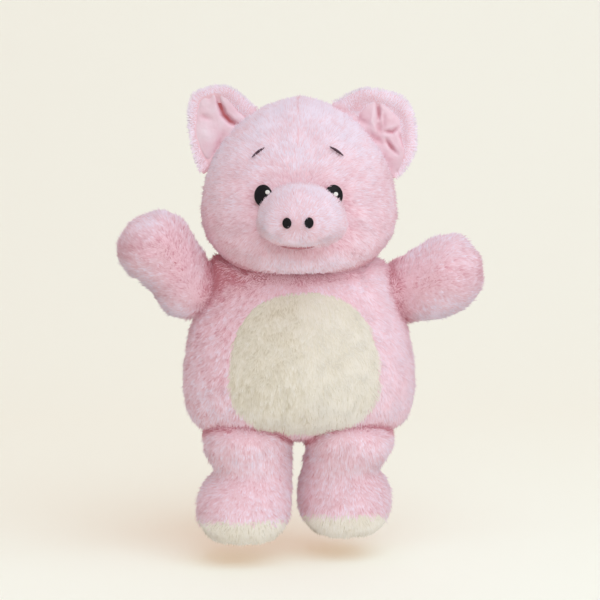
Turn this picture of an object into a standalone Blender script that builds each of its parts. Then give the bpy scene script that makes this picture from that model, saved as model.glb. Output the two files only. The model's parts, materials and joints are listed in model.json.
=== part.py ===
"""Plush pig, 330 mm tall: plush skins over stuffed cores, with a head that turns and nods,
and arms, legs, ears and a tail that swing on their sewn roots.

The pig faces -Y and stands on the floor z = 0. "Right" and "left" are the pig's own sides,
so its right side is at -X. Driving dimensions are in millimetres and degrees.
"""

import math

import bmesh
import bpy
import numpy as np
from mathutils import Vector

MM = 0.001

# Where the floor point under the middle of the whole toy lies in the drawing frame
FLOOR_CENTRE = (1.854, -8.425)

# Cloth and joint fits
SKIN = 8.0              # plush fabric with its pile
GAP = 0.35              # clearance between sewn neighbours
SOCKET_ROOM = 1.3       # clearance round an arm's, ear's or tail's root
LEG_ROOM = 1.9          # clearance round a leg's root ball
STITCH_LIFT = 0.35      # embroidery starts this far above the pile

# Body: height, half width, front depth, back depth
BODY = [
    (71.0, 0.0, 0.0, 0.0),
    (73.5, 46.0, 33.0, 31.0),
    (79.0, 70.0, 47.0, 43.0),
    (88.0, 79.5, 54.0, 49.0),
    (101.0, 83.0, 60.0, 54.0),
    (117.0, 84.0, 63.0, 56.5),
    (134.0, 82.3, 62.0, 56.0),
    (151.0, 79.0, 58.5, 53.5),
    (168.0, 73.0, 54.0, 50.0),
    (184.0, 64.5, 49.0, 46.0),
    (194.0, 54.5, 42.0, 40.0),
    (202.5, 39.0, 32.0, 31.0),
    (210.0, 0.0, 0.0, 0.0),
]
BODY_ROUND = 2.15       # 2 is an ellipse, more is squarer

# Neck: the head slides on a ball round this point
NECK = (0.0, 0.0, 107.0)
NECK_BALL = 103.5       # the top of the body stays inside it
NECK_CUP = 105.3        # hollow of the head's underside
NECK_HOLE = 22.0
NECK_HOLE_DEPTH = (180.0, 230.0)
NECK_RING = (26.6, 1.7, 204.5)      # ring radius, thread radius, height
NECK_REBATE = (29.3, 202.4)         # radius and floor of the rebate that holds the ring

# Head, as the body
HEAD = [
    (184.0, 0.0, 0.0, 0.0),
    (188.0, 34.0, 34.0, 28.0),
    (195.5, 48.0, 50.5, 41.0),
    (204.5, 57.8, 59.5, 50.5),
    (216.5, 66.0, 64.5, 58.0),
    (231.0, 70.0, 66.3, 62.0),
    (247.0, 69.2, 64.5, 63.0),
    (264.0, 65.8, 60.5, 60.0),
    (281.0, 57.8, 52.5, 53.5),
    (297.0, 45.0, 41.0, 42.5),
    (310.5, 26.5, 25.0, 26.0),
    (318.5, 0.0, 0.0, 0.0),
]
HEAD_ROUND = 2.1
HEAD_TURN = -5.0        # the head looks a little to the pig's right

# Snout, along its own axis: reach from the neck axis, half width, drop, rise, height of axis
SNOUT = [
    (44.0, 0.0, 0.0, 0.0, 238.0),
    (48.0, 29.0, 20.0, 20.0, 238.0),
    (57.0, 32.5, 22.3, 23.8, 238.0),
    (67.0, 31.0, 21.8, 24.2, 238.5),
    (76.0, 27.2, 20.3, 22.6, 239.3),
    (84.0, 21.8, 17.3, 19.4, 240.0),
    (89.5, 13.5, 11.5, 12.9, 240.5),
    (92.8, 0.0, 0.0, 0.0, 240.5),
]
SNOUT_ROUND = 2.2

# Face, in the head's own frame: sideways place, height, then sizes
EYE = (24.9, 252.7, 6.4, 7.6)
EYE_GLINT = (26.0, 255.3, 1.5, 1.5)
NOSTRIL = (7.1, 235.6, 3.1, 3.8)
BROW = (27.1, 282.8, 6.0, 0.8)
BROW_SLOPE = 34.0
MOUTH_HALF = 13.0
MOUTH_HEIGHT = 213.6
MOUTH_SMILE = 1.6
MOUTH_WIDTH = 1.4
EMBROIDERY = 1.2        # thickness of satin stitch
FACE_DEPTH = (-110.0, -45.0)    # the stretch of depth that holds the whole face
GLINT = 0.8

# Belly patch: height of its widest line, half width, rise, drop
BELLY = (124.0, 52.0, 59.5, 41.5)

# Arms, along their own axis from the shoulder point: distance, half width
ARM_BALL = 24.2
ARM = [
    (-24.2, 0.0),
    (-20.96, 12.1),
    (-12.1, 20.96),
    (0.0, 24.2),
    (12.0, 25.6),
    (24.0, 27.0),
    (36.0, 28.0),
    (47.0, 25.4),
    (56.5, 17.5),
    (62.5, 0.0),
]
ARM_HOLE = 9.0
RIGHT_SHOULDER = (-81.0, -9.0, 184.0)
LEFT_SHOULDER = (78.7, 1.0, 178.5)
RIGHT_ARM_RISE = 48.0
LEFT_ARM_RISE = 24.0
RIGHT_ARM_FORWARD = 6.0
LEFT_ARM_FORWARD = 24.0

# Legs: height, half width, front, back, how far the foot has moved, and the knee's lean inwards
LEG_BALL = 32.3
LEG = [
    (-0.5, 0.0, 0.0, 0.0, 1.0, 0.0),
    (0.3, 21.0, 23.5, 20.0, 1.0, 0.0),
    (6.0, 28.8, 31.5, 28.5, 1.0, 0.0),
    (15.0, 33.8, 37.0, 33.0, 1.0, 0.0),
    (28.0, 35.0, 37.3, 33.5, 0.9, 0.0),
    (40.0, 31.3, 32.8, 31.3, 0.6, 0.5),
    (50.0, 28.0, 27.6, 27.6, 0.3, 1.0),
    (66.0, 32.3, 32.3, 32.3, 0.0, 0.0),
    (82.15, 27.97, 27.97, 27.97, 0.0, 0.0),
    (93.97, 16.15, 16.15, 16.15, 0.0, 0.0),
    (98.3, 0.0, 0.0, 0.0, 0.0, 0.0),
]
LEG_ROUND = 2.15
LEG_HOLE = 10.0
RIGHT_HIP = (-40.0, -8.0, 66.0)
LEFT_HIP = (37.5, -8.0, 66.0)
RIGHT_FOOT_SHIFT = (-1.8, -5.0)
LEFT_FOOT_SHIFT = (-4.3, 13.0)
RIGHT_KNEE = 4.0
LEFT_KNEE = -4.0
SOLE_SEAM = 14.5        # height of the sole's seam under the middle of the foot
SOLE_TILT = 11.0        # the seam is higher at the toe

# Ears, in their own frame: along the sewn edge towards the outside, then out from the head
RIGHT_EAR_OUTLINE = [
    (-29.0, -1.0), (-31.0, 13.0), (-29.0, 25.5), (-19.0, 34.5), (-8.5, 39.5), (2.0, 36.0),
    (11.5, 27.5), (21.0, 16.0), (31.0, 6.0), (31.0, -2.0), (14.0, -3.0), (-14.0, -3.0),
]
LEFT_EAR_OUTLINE = [
    (-34.0, -1.0), (-37.0, 11.0), (-33.5, 23.5), (-21.0, 33.0), (-7.0, 38.0), (7.0, 35.5),
    (17.5, 29.5), (27.0, 21.0), (33.5, 11.0), (34.0, -2.0), (15.0, -3.0), (-15.0, -3.0),
]
RIGHT_EAR_ROOT = (-51.3, 1.0, 289.0)
LEFT_EAR_ROOT = (50.0, 1.0, 287.4)
RIGHT_EAR_LEAN = -49.0
LEFT_EAR_LEAN = 49.5
EAR_ROLL = (5.4, 33.0)  # radius and half length of the rolled edge that the ear turns on
EAR_BACK = 6.0          # bulge of the plush back
EAR_FRONT = 3.6         # bulge of the lining
EAR_CUP = 8.0           # how far the sides curl forward
EAR_LINING = 0.80       # size of the lining against the ear

# Tail: a curl behind the body
TAIL_ROOT = (0.0, 56.4, 106.0)
TAIL_BALL = 5.0
TAIL_THICK = 3.8
TAIL_TIP = 2.4
TAIL_COIL = 6.5
TAIL_REACH = 16.0
TAIL_TURNS = 1.3

# Closing seam on the back: lowest point, highest point, thread radius
BACK_SEAM = (124.0, 172.0)
THREAD = 0.7

# Faces round and along each form, and round and along each ball that cuts
WIDE = (28, 15)
INNER = (16, 9)
LIMB = (20, 11)
LIMB_INNER = (12, 7)
CUP_BALL = (28, 20)
COARSE_BALL = (16, 10)
NECK_RING_FACES = (20, 6)

# Colours, as red, green and blue from 0 to 1, then roughness
COLOURS = {
    "pink_plush": ((0.73, 0.46, 0.53), 0.95),
    "cream_plush": ((0.72, 0.67, 0.57), 0.95),
    "pink_satin": ((0.80, 0.50, 0.54), 0.45),
    "black_thread": ((0.012, 0.012, 0.014), 0.35),
    "white_thread": ((0.85, 0.85, 0.83), 0.45),
    "brown_thread": ((0.10, 0.06, 0.07), 0.6),
    "rose_thread": ((0.52, 0.20, 0.24), 0.6),
    "stuffing": ((0.88, 0.88, 0.86), 1.0),
}


def clear_scene():
    """Remove whatever the file holds."""
    for obj in list(bpy.data.objects):
        bpy.data.objects.remove(obj, do_unlink=True)


def make_materials():
    """One Principled material for each colour."""
    made = {}
    for name, (colour, roughness) in COLOURS.items():
        material = bpy.data.materials.new(name)
        material.use_nodes = True
        shader = material.node_tree.nodes["Principled BSDF"]
        shader.inputs["Base Color"].default_value = (*colour, 1.0)
        shader.inputs["Roughness"].default_value = roughness
        shader.inputs["Metallic"].default_value = 0.0
        made[name] = material
    return made


def make_empty(name, parent, place, turn=(0.0, 0.0, 0.0)):
    """An empty on a joint; place in mm in its parent's frame, turn in degrees."""
    empty = bpy.data.objects.new(name, None)
    bpy.context.collection.objects.link(empty)
    empty.parent = parent
    empty.location = Vector(place) * MM
    empty.rotation_euler = [math.radians(angle) for angle in turn]
    return empty


def mesh_object(name, points, faces, parent, material=None):
    """A smooth mesh object from points in mm in its parent's frame."""
    mesh = bpy.data.meshes.new(name)
    mesh.from_pydata([Vector(p) * MM for p in points], [], faces)
    work = bmesh.new()
    work.from_mesh(mesh)
    bmesh.ops.recalc_face_normals(work, faces=work.faces)
    if work.calc_volume(signed=True) < 0:
        bmesh.ops.reverse_faces(work, faces=work.faces)
    work.to_mesh(mesh)
    work.free()
    mesh.shade_smooth()
    obj = bpy.data.objects.new(name, mesh)
    bpy.context.collection.objects.link(obj)
    obj.parent = parent
    if material:
        mesh.materials.append(material)
    else:
        obj.hide_render = True
        obj.display_type = "WIRE"
    return obj


def boolean(obj, other, operation):
    """Add an exact Boolean of obj with other."""
    modifier = obj.modifiers.new(operation.lower() + "_" + other.name, "BOOLEAN")
    modifier.solver = "EXACT"
    modifier.operation = operation
    modifier.object = other


def cut(obj, *cutters):
    """Take each cutter away from obj."""
    for cutter in cutters:
        boolean(obj, cutter, "DIFFERENCE")


def keep(obj, *guides):
    """Keep only what lies inside each guide."""
    for guide in guides:
        boolean(obj, guide, "INTERSECT")


def spline(stations, count):
    """Points evenly spaced along a smooth curve through the stations, pole to pole.

    The first two columns (place along the axis, half width) set the spacing. Past each pole
    the curve goes on mirrored in the axis, so the ends close round and not pointed.
    """
    table = np.array(stations, dtype=float)
    mirror = np.ones(table.shape[1])
    mirror[1:4] = -1.0
    table = np.vstack([table[1] * mirror, table, table[-2] * mirror])
    steps = 24
    t = np.linspace(0.0, 1.0, steps, endpoint=False)[:, None]
    runs = []
    for i in range(1, len(table) - 2):
        a, b, c, d = table[i - 1:i + 3]
        curve = b + 0.5 * t * (c - a + t * (2 * a - 5 * b + 4 * c - d + t * (3 * (b - c) + d - a)))
        runs.append(curve)
    dense = np.vstack(runs + [table[-2][None, :]])
    hops = np.hypot(np.diff(dense[:, 0]), np.diff(dense[:, 1]))
    along = np.concatenate([[0.0], np.cumsum(hops)])
    places = np.linspace(0.0, along[-1], count)
    return np.stack([np.interp(places, along, column) for column in dense.T], axis=1)


def power(value, exponent):
    """Signed power, for superellipse sections."""
    return np.sign(value) * np.abs(value) ** exponent


def form_grid(rows, sides, roundness):
    """Rings of superellipse sections; rows hold z, half width, front, back, centre x, centre y."""
    angle = np.linspace(0.0, 2.0 * np.pi, sides, endpoint=False)
    across = power(np.cos(angle), 2.0 / roundness)
    deep = power(np.sin(angle), 2.0 / roundness)
    z, width, front, back, shift_x, shift_y = (rows[:, i:i + 1] for i in range(6))
    depth = np.where(deep[None, :] < 0.0, front, back)
    x = shift_x + width * across
    y = shift_y + depth * deep
    return np.stack([x, y, z + 0.0 * x], axis=2)


def grow_grid(grid, grow):
    """Move every point of a grid of rings along its outward normal."""
    around = np.roll(grid, -1, axis=1) - np.roll(grid, 1, axis=1)
    along = np.empty_like(grid)
    along[1:-1] = grid[2:] - grid[:-2]
    along[0] = grid[1] - grid[0]
    along[-1] = grid[-1] - grid[-2]
    normal = np.cross(around, along)
    length = np.linalg.norm(normal, axis=2, keepdims=True)
    normal = normal / np.maximum(length, 1e-9)
    normal[0] = (0.0, 0.0, -1.0)
    normal[-1] = (0.0, 0.0, 1.0)
    return grid + grow * normal


def skin_faces(rings, sides):
    """Faces of a closed form: a pole, rings, and a pole."""
    faces = []
    first = 1
    last = 1 + rings * sides
    for j in range(sides):
        k = (j + 1) % sides
        faces.append((0, first + k, first + j))
        faces.append((last, last - sides + j, last - sides + k))
        for i in range(rings - 1):
            a = first + i * sides
            b = a + sides
            faces.append((a + j, a + k, b + k, b + j))
    return faces


def form(name, stations, density, roundness, parent, material=None, grow=0.0, trim=None):
    """A closed lofted form; trim is a function that pulls points back inside a limit."""
    sides, rings = density
    rows = np.zeros((rings + 2, 6))
    curve = spline(stations, rings + 2)
    rows[:, :curve.shape[1]] = curve
    grid = form_grid(rows, sides, roundness)
    if grow:
        grid = grow_grid(grid, grow)
    if trim:
        grid = trim(grid, grow)
    points = [grid[0, 0], *grid[1:-1].reshape(-1, 3), grid[-1, 0]]
    return mesh_object(name, points, skin_faces(rings, sides), parent, material)


def ball(name, radius, place, parent, segments=24, rings=16):
    """A closed ball used as a cutter."""
    obj = mesh_object(name, *ball_mesh(radius, place, segments, rings), parent)
    return obj


def ball_mesh(radius, place, segments, rings):
    """Points and faces of a ball."""
    polar = np.linspace(0.0, np.pi, rings + 1)[1:-1, None]
    angle = np.linspace(0.0, 2.0 * np.pi, segments, endpoint=False)[None, :]
    x = np.sin(polar) * np.cos(angle)
    y = np.sin(polar) * np.sin(angle)
    z = -np.cos(polar) + 0.0 * angle
    grid = np.stack([x, y, z], axis=2) * radius + np.array(place)
    low = np.array(place) - (0.0, 0.0, radius)
    high = np.array(place) + (0.0, 0.0, radius)
    return [low, *grid.reshape(-1, 3), high], skin_faces(rings - 1, segments)


def prism(name, outline, start, end, parent, material=None, axis="y"):
    """A straight prism; the outline is in x and z along Y, or in x and y along Z."""
    count = len(outline)
    points = []
    for depth in (start, end):
        for a, b in outline:
            points.append((a, depth, b) if axis == "y" else (a, b, depth))
    faces = [tuple(range(count)), tuple(range(2 * count - 1, count - 1, -1))]
    for i in range(count):
        j = (i + 1) % count
        faces.append((i, i + count, j + count, j))
    return mesh_object(name, points, faces, parent, material)


def oval(centre, half_wide, rise, drop, sides, roundness=2.0, turn=0.0):
    """Outline of an oval whose upper and lower halves may differ, turned in degrees."""
    angle = np.linspace(0.0, 2.0 * np.pi, sides, endpoint=False)
    across = half_wide * power(np.cos(angle), 2.0 / roundness)
    high = power(np.sin(angle), 2.0 / roundness)
    high = np.where(high > 0.0, high * rise, high * drop)
    c, s = math.cos(math.radians(turn)), math.sin(math.radians(turn))
    x = centre[0] + c * across - s * high
    z = centre[1] + s * across + c * high
    return list(zip(x, z))


def tube(name, path, radii, sides, parent, material):
    """A closed tube of changing radius along a path, with pointed-round ends."""
    path = np.array(path, dtype=float)
    along = np.gradient(path, axis=0)
    along /= np.linalg.norm(along, axis=1, keepdims=True)
    side = np.cross(along[0], (0.0, 0.0, 1.0))
    if np.linalg.norm(side) < 0.1:
        side = np.cross(along[0], (1.0, 0.0, 0.0))
    rings = []
    angle = np.linspace(0.0, 2.0 * np.pi, sides, endpoint=False)[:, None]
    for point, direction, radius in zip(path, along, radii):
        side = side - direction * np.dot(side, direction)
        side = side / np.linalg.norm(side)
        other = np.cross(direction, side)
        rings.append(point + radius * (np.cos(angle) * side + np.sin(angle) * other))
    start = path[0] - along[0] * radii[0] * 0.6
    end = path[-1] + along[-1] * radii[-1] * 0.6
    points = [start, *np.vstack(rings), end]
    return mesh_object(name, points, skin_faces(len(path), sides), parent, material)


def below(point, centre_line):
    """A point of the drawing seen from a joint's place."""
    return tuple(p - c for p, c in zip(point, centre_line))


def lowered(stations, height, columns=(0,)):
    """The stations with their heights measured from a joint at that height."""
    rows = []
    for station in stations:
        row = list(station)
        for column in columns:
            row[column] -= height
        rows.append(tuple(row))
    return rows


def inside_ball(radius, centre=(0.0, 0.0, 0.0), only=None):
    """A trim that pulls points back onto a ball; only picks the points it may touch."""
    def trim(grid, grow):
        away = grid - np.array(centre)
        reach = np.linalg.norm(away, axis=2, keepdims=True)
        limit = radius + grow
        factor = np.where(reach > limit, limit / np.maximum(reach, 1e-9), 1.0)
        if only:
            factor = np.where(only(grid)[:, :, None], factor, 1.0)
        return np.array(centre) + away * factor
    return trim


def make_body(root, paint):
    """Body skin with its openings, belly patch, core, back seam and neck ring."""
    trim = inside_ball(NECK_BALL, NECK, lambda grid: grid[:, :, 2] > 160.0)
    skin = form("body_skin", BODY, WIDE, BODY_ROUND, root, paint["pink_plush"], trim=trim)
    hollow = form("body_hollow", BODY, INNER, BODY_ROUND, root, grow=-SKIN, trim=trim)
    core = form("body_stuffing", BODY, INNER, BODY_ROUND, root, paint["stuffing"],
                grow=-SKIN - GAP, trim=trim)
    sockets = []
    for side, shoulder in (("right", RIGHT_SHOULDER), ("left", LEFT_SHOULDER)):
        sockets.append(ball(side + "_arm_socket", ARM_BALL + SOCKET_ROOM, shoulder, root, *COARSE_BALL))
    for side, hip in (("right", RIGHT_HIP), ("left", LEFT_HIP)):
        sockets.append(ball(side + "_leg_socket", LEG_BALL + LEG_ROOM, hip, root, *COARSE_BALL))
    tail_socket = ball("tail_socket", TAIL_BALL + SOCKET_ROOM, TAIL_ROOT, root, 12, 8)
    neck_hole = prism("neck_hole", oval((0.0, 0.0), NECK_HOLE, NECK_HOLE, NECK_HOLE, 20),
                      *NECK_HOLE_DEPTH, root, axis="z")
    rebate_radius, rebate_floor = NECK_REBATE
    rebate = prism("neck_rebate", oval((0.0, 0.0), rebate_radius, rebate_radius, rebate_radius, 20),
                   rebate_floor, NECK_HOLE_DEPTH[1], root, axis="z")
    cut(skin, hollow, *sockets, tail_socket, neck_hole, rebate)
    cut(core, *sockets)

    height, half, rise, drop = BELLY
    window = prism("belly_window", oval((0.0, height), half + GAP, rise + GAP, drop + GAP, 32, 1.95),
                   -90.0, -20.0, root)
    cut(skin, window)
    patch = prism("belly_patch", oval((0.0, height), half, rise, drop, 32, 1.95),
                  -90.0, -20.0, root, paint["cream_plush"])
    outside = form("body_outside", BODY, WIDE, BODY_ROUND, root, trim=trim)
    keep(patch, outside)
    cut(patch, hollow)

    rows = spline(BODY, 200)
    heights = np.linspace(*BACK_SEAM, 7)
    backs = np.interp(heights, rows[:, 0], rows[:, 3]) + THREAD + GAP
    path = [(0.0, back, z) for back, z in zip(backs, heights)]
    tube("back_seam_thread", path, [THREAD] * len(path), 6, root, paint["rose_thread"])


def make_neck(root, paint):
    """The ring of gathered thread that joins head and body."""
    neck = make_empty("neck_turn_axis", root, NECK)
    radius, thick, height = NECK_RING
    round_ring, round_thread = NECK_RING_FACES
    turns = np.linspace(0.0, 2.0 * np.pi, round_ring, endpoint=False)[:, None]
    angle = np.linspace(0.0, 2.0 * np.pi, round_thread, endpoint=False)[None, :]
    reach = radius + thick * np.cos(angle)
    x, y = reach * np.cos(turns), reach * np.sin(turns)
    z = height - NECK[2] + thick * np.sin(angle) + 0.0 * turns
    points = np.stack([x, y, z], axis=2).reshape(-1, 3)
    faces = []
    for i in range(round_ring):
        for j in range(round_thread):
            a, b = i * round_thread, (i + 1) % round_ring * round_thread
            k = (j + 1) % round_thread
            faces.append((a + j, b + j, b + k, a + k))
    mesh_object("neck_seam", points, faces, neck, paint["rose_thread"])
    return neck


def raised(name, outline, build, parent, material, low, high, *cutters):
    """Embroidery: the part of a prism that lies between two lifts above a soft form's front."""
    piece = prism(name, outline, *FACE_DEPTH, parent, material)
    keep(piece, build(name + "_top", high))
    cut(piece, build(name + "_bed", low), *cutters)
    return piece


def make_head(head, paint):
    """Head skin, core, snout and face, in the head's own frame."""
    drop_head = lowered(HEAD, NECK[2])
    cup = ball("neck_cup", NECK_CUP, (0.0, 0.0, 0.0), head, *CUP_BALL)

    def head_form(name, grow, density=WIDE, material=None):
        return form(name, drop_head, density, HEAD_ROUND, head, material, grow)

    skin = head_form("head_skin", 0.0, WIDE, paint["pink_plush"])
    hollow = head_form("head_hollow", -SKIN, INNER)
    cut(hollow, ball("head_floor", NECK_CUP + SKIN, (0.0, 0.0, 0.0), head, *COARSE_BALL))
    hole = prism("head_hole", oval((0.0, 0.0), NECK_HOLE, NECK_HOLE, NECK_HOLE, 20),
                 NECK_CUP - 2.0 * SKIN, NECK_CUP + 2.0 * SKIN, head, axis="z")
    cut(skin, cup, hollow, hole)
    core = head_form("head_stuffing", -SKIN - GAP, INNER, paint["stuffing"])
    cut(core, ball("core_floor", NECK_CUP + SKIN + GAP, (0.0, 0.0, 0.0), head, *COARSE_BALL))

    snout_axis = make_empty("snout_axis", head, (0.0, 0.0, 0.0), (90.0, 0.0, 0.0))
    rows = [(reach, half, drop, rise, 0.0, height - NECK[2])
            for reach, half, drop, rise, height in SNOUT]

    def snout_form(name, grow, density=LIMB, material=None):
        return form(name, rows, density, SNOUT_ROUND, snout_axis, material, grow)

    behind = head_form("snout_bed", GAP)
    snout = snout_form("snout_skin", 0.0, LIMB, paint["pink_plush"])
    cut(snout, behind, snout_form("snout_hollow", -SKIN, LIMB_INNER))
    filling = snout_form("snout_stuffing", -SKIN - GAP, LIMB_INNER, paint["stuffing"])
    cut(filling, behind)

    over_snout = snout_form("snout_room", GAP)
    ground = STITCH_LIFT
    top = ground + EMBROIDERY
    for side, sign in (("right", -1.0), ("left", 1.0)):
        x, z, wide, tall = EYE
        outline = oval((sign * x, z - NECK[2]), wide, tall, tall, 20)
        raised(side + "_eye", outline, head_form, head, paint["black_thread"], ground, top, over_snout)
        x, z, wide, tall = EYE_GLINT
        outline = oval((sign * EYE[0] + x - EYE[0], z - NECK[2]), wide, tall, tall, 10)
        raised(side + "_eye_highlight", outline, head_form, head, paint["white_thread"],
               top + GAP, top + GAP + GLINT, over_snout)
        x, z, wide, tall = NOSTRIL
        outline = oval((sign * x, z - NECK[2]), wide, tall, tall, 14)
        raised(side + "_nostril", outline, snout_form, head, paint["black_thread"], ground, top)
        x, z, wide, tall = BROW
        outline = oval((sign * x, z - NECK[2]), wide, tall, tall, 12, 2.6, -sign * BROW_SLOPE)
        raised(side + "_brow", outline, head_form, head, paint["brown_thread"], ground, top)

    across = np.linspace(-1.0, 1.0, 11)
    smile = MOUTH_HEIGHT - NECK[2] + MOUTH_SMILE * across ** 2
    upper = [(MOUTH_HALF * a, s + 0.5 * MOUTH_WIDTH * math.sqrt(1.02 - a * a))
             for a, s in zip(across, smile)]
    lower = [(MOUTH_HALF * a, s - 0.5 * MOUTH_WIDTH * math.sqrt(1.02 - a * a))
             for a, s in zip(across, smile)]
    raised("mouth_stitch", lower + upper[::-1], head_form, head, paint["rose_thread"],
           ground, top, over_snout)
    return skin


def closed_curve(points, steps):
    """A smooth closed curve through the points, with the same count of points on each stretch."""
    table = np.array(points, dtype=float)
    t = np.linspace(0.0, 1.0, steps, endpoint=False)[:, None]
    runs = []
    for i in range(len(table)):
        a, b, c, d = (table[(i + k) % len(table)] for k in (-1, 0, 1, 2))
        runs.append(b + 0.5 * t * (c - a + t * (2 * a - 5 * b + 4 * c - d + t * (3 * (b - c) + d - a))))
    return np.vstack(runs)


def ear_curl(along, out):
    """How far forward the ear curls at a place: more towards its sides and away from its root."""
    return EAR_CUP * (along / 32.0) ** 2 * np.clip(out / 22.0, 0.0, 1.0)


def ear_pad(name, outline, back, front, parent, material):
    """A pad with a rounded rim: plump behind and in front, its sides curled forward."""
    rim = closed_curve(outline, 2)
    centre = rim.mean(axis=0)
    scales = (1.0, 0.93, 0.78, 0.5)
    count = len(rim)
    points = []
    for bulge, rings in ((-front, scales[::-1]), (back, scales[1:])):
        for scale in rings:
            flat = centre + scale * (rim - centre)
            y = bulge * math.sqrt(1.0 - scale * scale) - ear_curl(flat[:, 0], flat[:, 1])
            points.extend(zip(flat[:, 0], y, flat[:, 1]))
    low = (centre[0], -front - ear_curl(*centre), centre[1])
    high = (centre[0], back - ear_curl(*centre), centre[1])
    faces = skin_faces(len(points) // count, count)
    return mesh_object(name, [low, *points, high], faces, parent, material)


def roll(name, radius, half_length, parent, material=None):
    """A long round roll along X with pointed ends."""
    places = np.linspace(-half_length, half_length, 13)[1:-1]
    radii = radius * np.sqrt(1.0 - (places / half_length) ** 2)
    path = [(x, 0.0, 0.0) for x in places]
    return tube(name, path, radii, 12, parent, material)


def make_ear(side, sign, outline, root, lean, head, skin, paint):
    """One ear: plush back with a rolled root, satin lining in a pocket, groove in the head."""
    place = below(root, NECK)
    axis = make_empty(side + "_ear_axis", head, place, (0.0, lean, 0.0))
    outline = [(sign * b, n) for b, n in outline]
    plush = ear_pad(side + "_ear_back", outline, EAR_BACK, EAR_FRONT, axis, paint["pink_plush"])
    boolean(plush, roll(side + "_ear_roll", *EAR_ROLL, axis), "UNION")
    rim = np.array(outline)
    centre = rim.mean(axis=0) + (0.0, 1.0)
    small = centre + EAR_LINING * (rim - centre)
    pocket = ear_pocket(side + "_ear_pocket", small, 0.0, axis)
    cut(plush, pocket)
    lining = ear_pad(side + "_ear_lining", outline, EAR_BACK, EAR_FRONT, axis, paint["pink_satin"])
    keep(lining, ear_pocket(side + "_ear_facing", small, GAP, axis))
    cut(lining, roll(side + "_ear_roll_room", EAR_ROLL[0] + GAP, EAR_ROLL[1] + GAP, axis))
    groove = roll(side + "_ear_groove", EAR_ROLL[0] + SOCKET_ROOM, EAR_ROLL[1] + 2.0, axis)
    cut(skin, groove)


def ear_pocket(name, outline, shrink, parent):
    """A curved slab over the ear's front, whose back follows the ear's curl."""
    rim = closed_curve(outline, 2)
    centre = rim.mean(axis=0)
    rim = centre + (rim - centre) * (1.0 - shrink / 16.0)
    count = len(rim)
    points = []
    for depth, scale in ((-30.0, 0.5), (-30.0, 1.0), (0.8 - shrink, 1.0), (0.8 - shrink, 0.5)):
        flat = centre + scale * (rim - centre)
        curl = ear_curl(flat[:, 0], flat[:, 1]) if depth > -30.0 else 0.0 * flat[:, 0]
        points.extend(zip(flat[:, 0], depth - curl, flat[:, 1]))
    low = (centre[0], -30.0, centre[1])
    high = (centre[0], 0.8 - shrink - ear_curl(*centre), centre[1])
    return mesh_object(name, [low, *points, high], skin_faces(4, count), parent)


def make_arm(side, sign, shoulder, rise, forward, root, paint):
    """One arm: a club-shaped skin with a hole at its root, and its core."""
    out = Vector((sign * math.cos(math.radians(rise)) * math.cos(math.radians(forward)),
                  -math.cos(math.radians(rise)) * math.sin(math.radians(forward)),
                  math.sin(math.radians(rise))))
    turn = out.to_track_quat("Z", "Y").to_euler()
    axis = make_empty(side + "_shoulder_axis", root, shoulder, [math.degrees(a) for a in turn])
    stations = [(s, r, r, r) for s, r in ARM]
    trim = inside_ball(ARM_BALL, only=lambda grid: grid[:, :, 2] < 0.0)
    skin = form(side + "_arm_skin", stations, LIMB, 2.0, axis, paint["pink_plush"], trim=trim)
    hollow = form(side + "_arm_hollow", stations, LIMB_INNER, 2.0, axis, grow=-SKIN, trim=trim)
    hole = prism(side + "_arm_hole", oval((0.0, 0.0), ARM_HOLE, ARM_HOLE, ARM_HOLE, 16),
                 -40.0, -10.0, axis, axis="z")
    cut(skin, hollow, hole)
    form(side + "_arm_stuffing", stations, LIMB_INNER, 2.0, axis, paint["stuffing"],
         grow=-SKIN - GAP, trim=trim)


def make_leg(side, hip, foot_shift, knee, root, paint):
    """One leg: skin from hip ball to foot, cream sole and core."""
    axis = make_empty(side + "_hip_axis", root, hip)
    shift_x, shift_y = foot_shift
    rows = [(z - hip[2], w, f, b, shift_x * s + knee * k, shift_y * s)
            for z, w, f, b, s, k in LEG]
    floor = -hip[2]

    def trim(grid, grow):
        upper = inside_ball(LEG_BALL, only=lambda g: g[:, :, 2] > 0.0)(grid, grow)
        upper[:, :, 2] = np.maximum(upper[:, :, 2], floor - grow)
        return upper

    def leg_form(name, grow, density=LIMB, material=None):
        return form(name, rows, density, LEG_ROUND, axis, material, grow, trim)

    skin = leg_form(side + "_leg_skin", 0.0, LIMB, paint["pink_plush"])
    hollow = leg_form(side + "_leg_hollow", -SKIN, LIMB_INNER)
    hole = prism(side + "_leg_hole", oval((0.0, 0.0), LEG_HOLE, LEG_HOLE, LEG_HOLE, 16),
                 10.0, 40.0, axis, axis="z")
    leg_form(side + "_leg_stuffing", -SKIN - GAP, LIMB_INNER, paint["stuffing"])
    sole = leg_form(side + "_sole", 0.0, LIMB, paint["cream_plush"])
    square = [(-60.0, -60.0), (60.0, -60.0), (60.0, 60.0), (-60.0, 60.0)]
    for piece, lift, operation in ((skin, 0.0, cut), (sole, -GAP, keep)):
        seam = make_empty(piece.name + "_seam", axis,
                          (shift_x, shift_y, floor + SOLE_SEAM + lift), (-SOLE_TILT, 0.0, 0.0))
        slab = prism(piece.name + "_slab", square, -60.0, 0.0, seam, axis="z")
        operation(piece, slab)
    cut(skin, hollow, hole)
    cut(sole, hollow)


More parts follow.
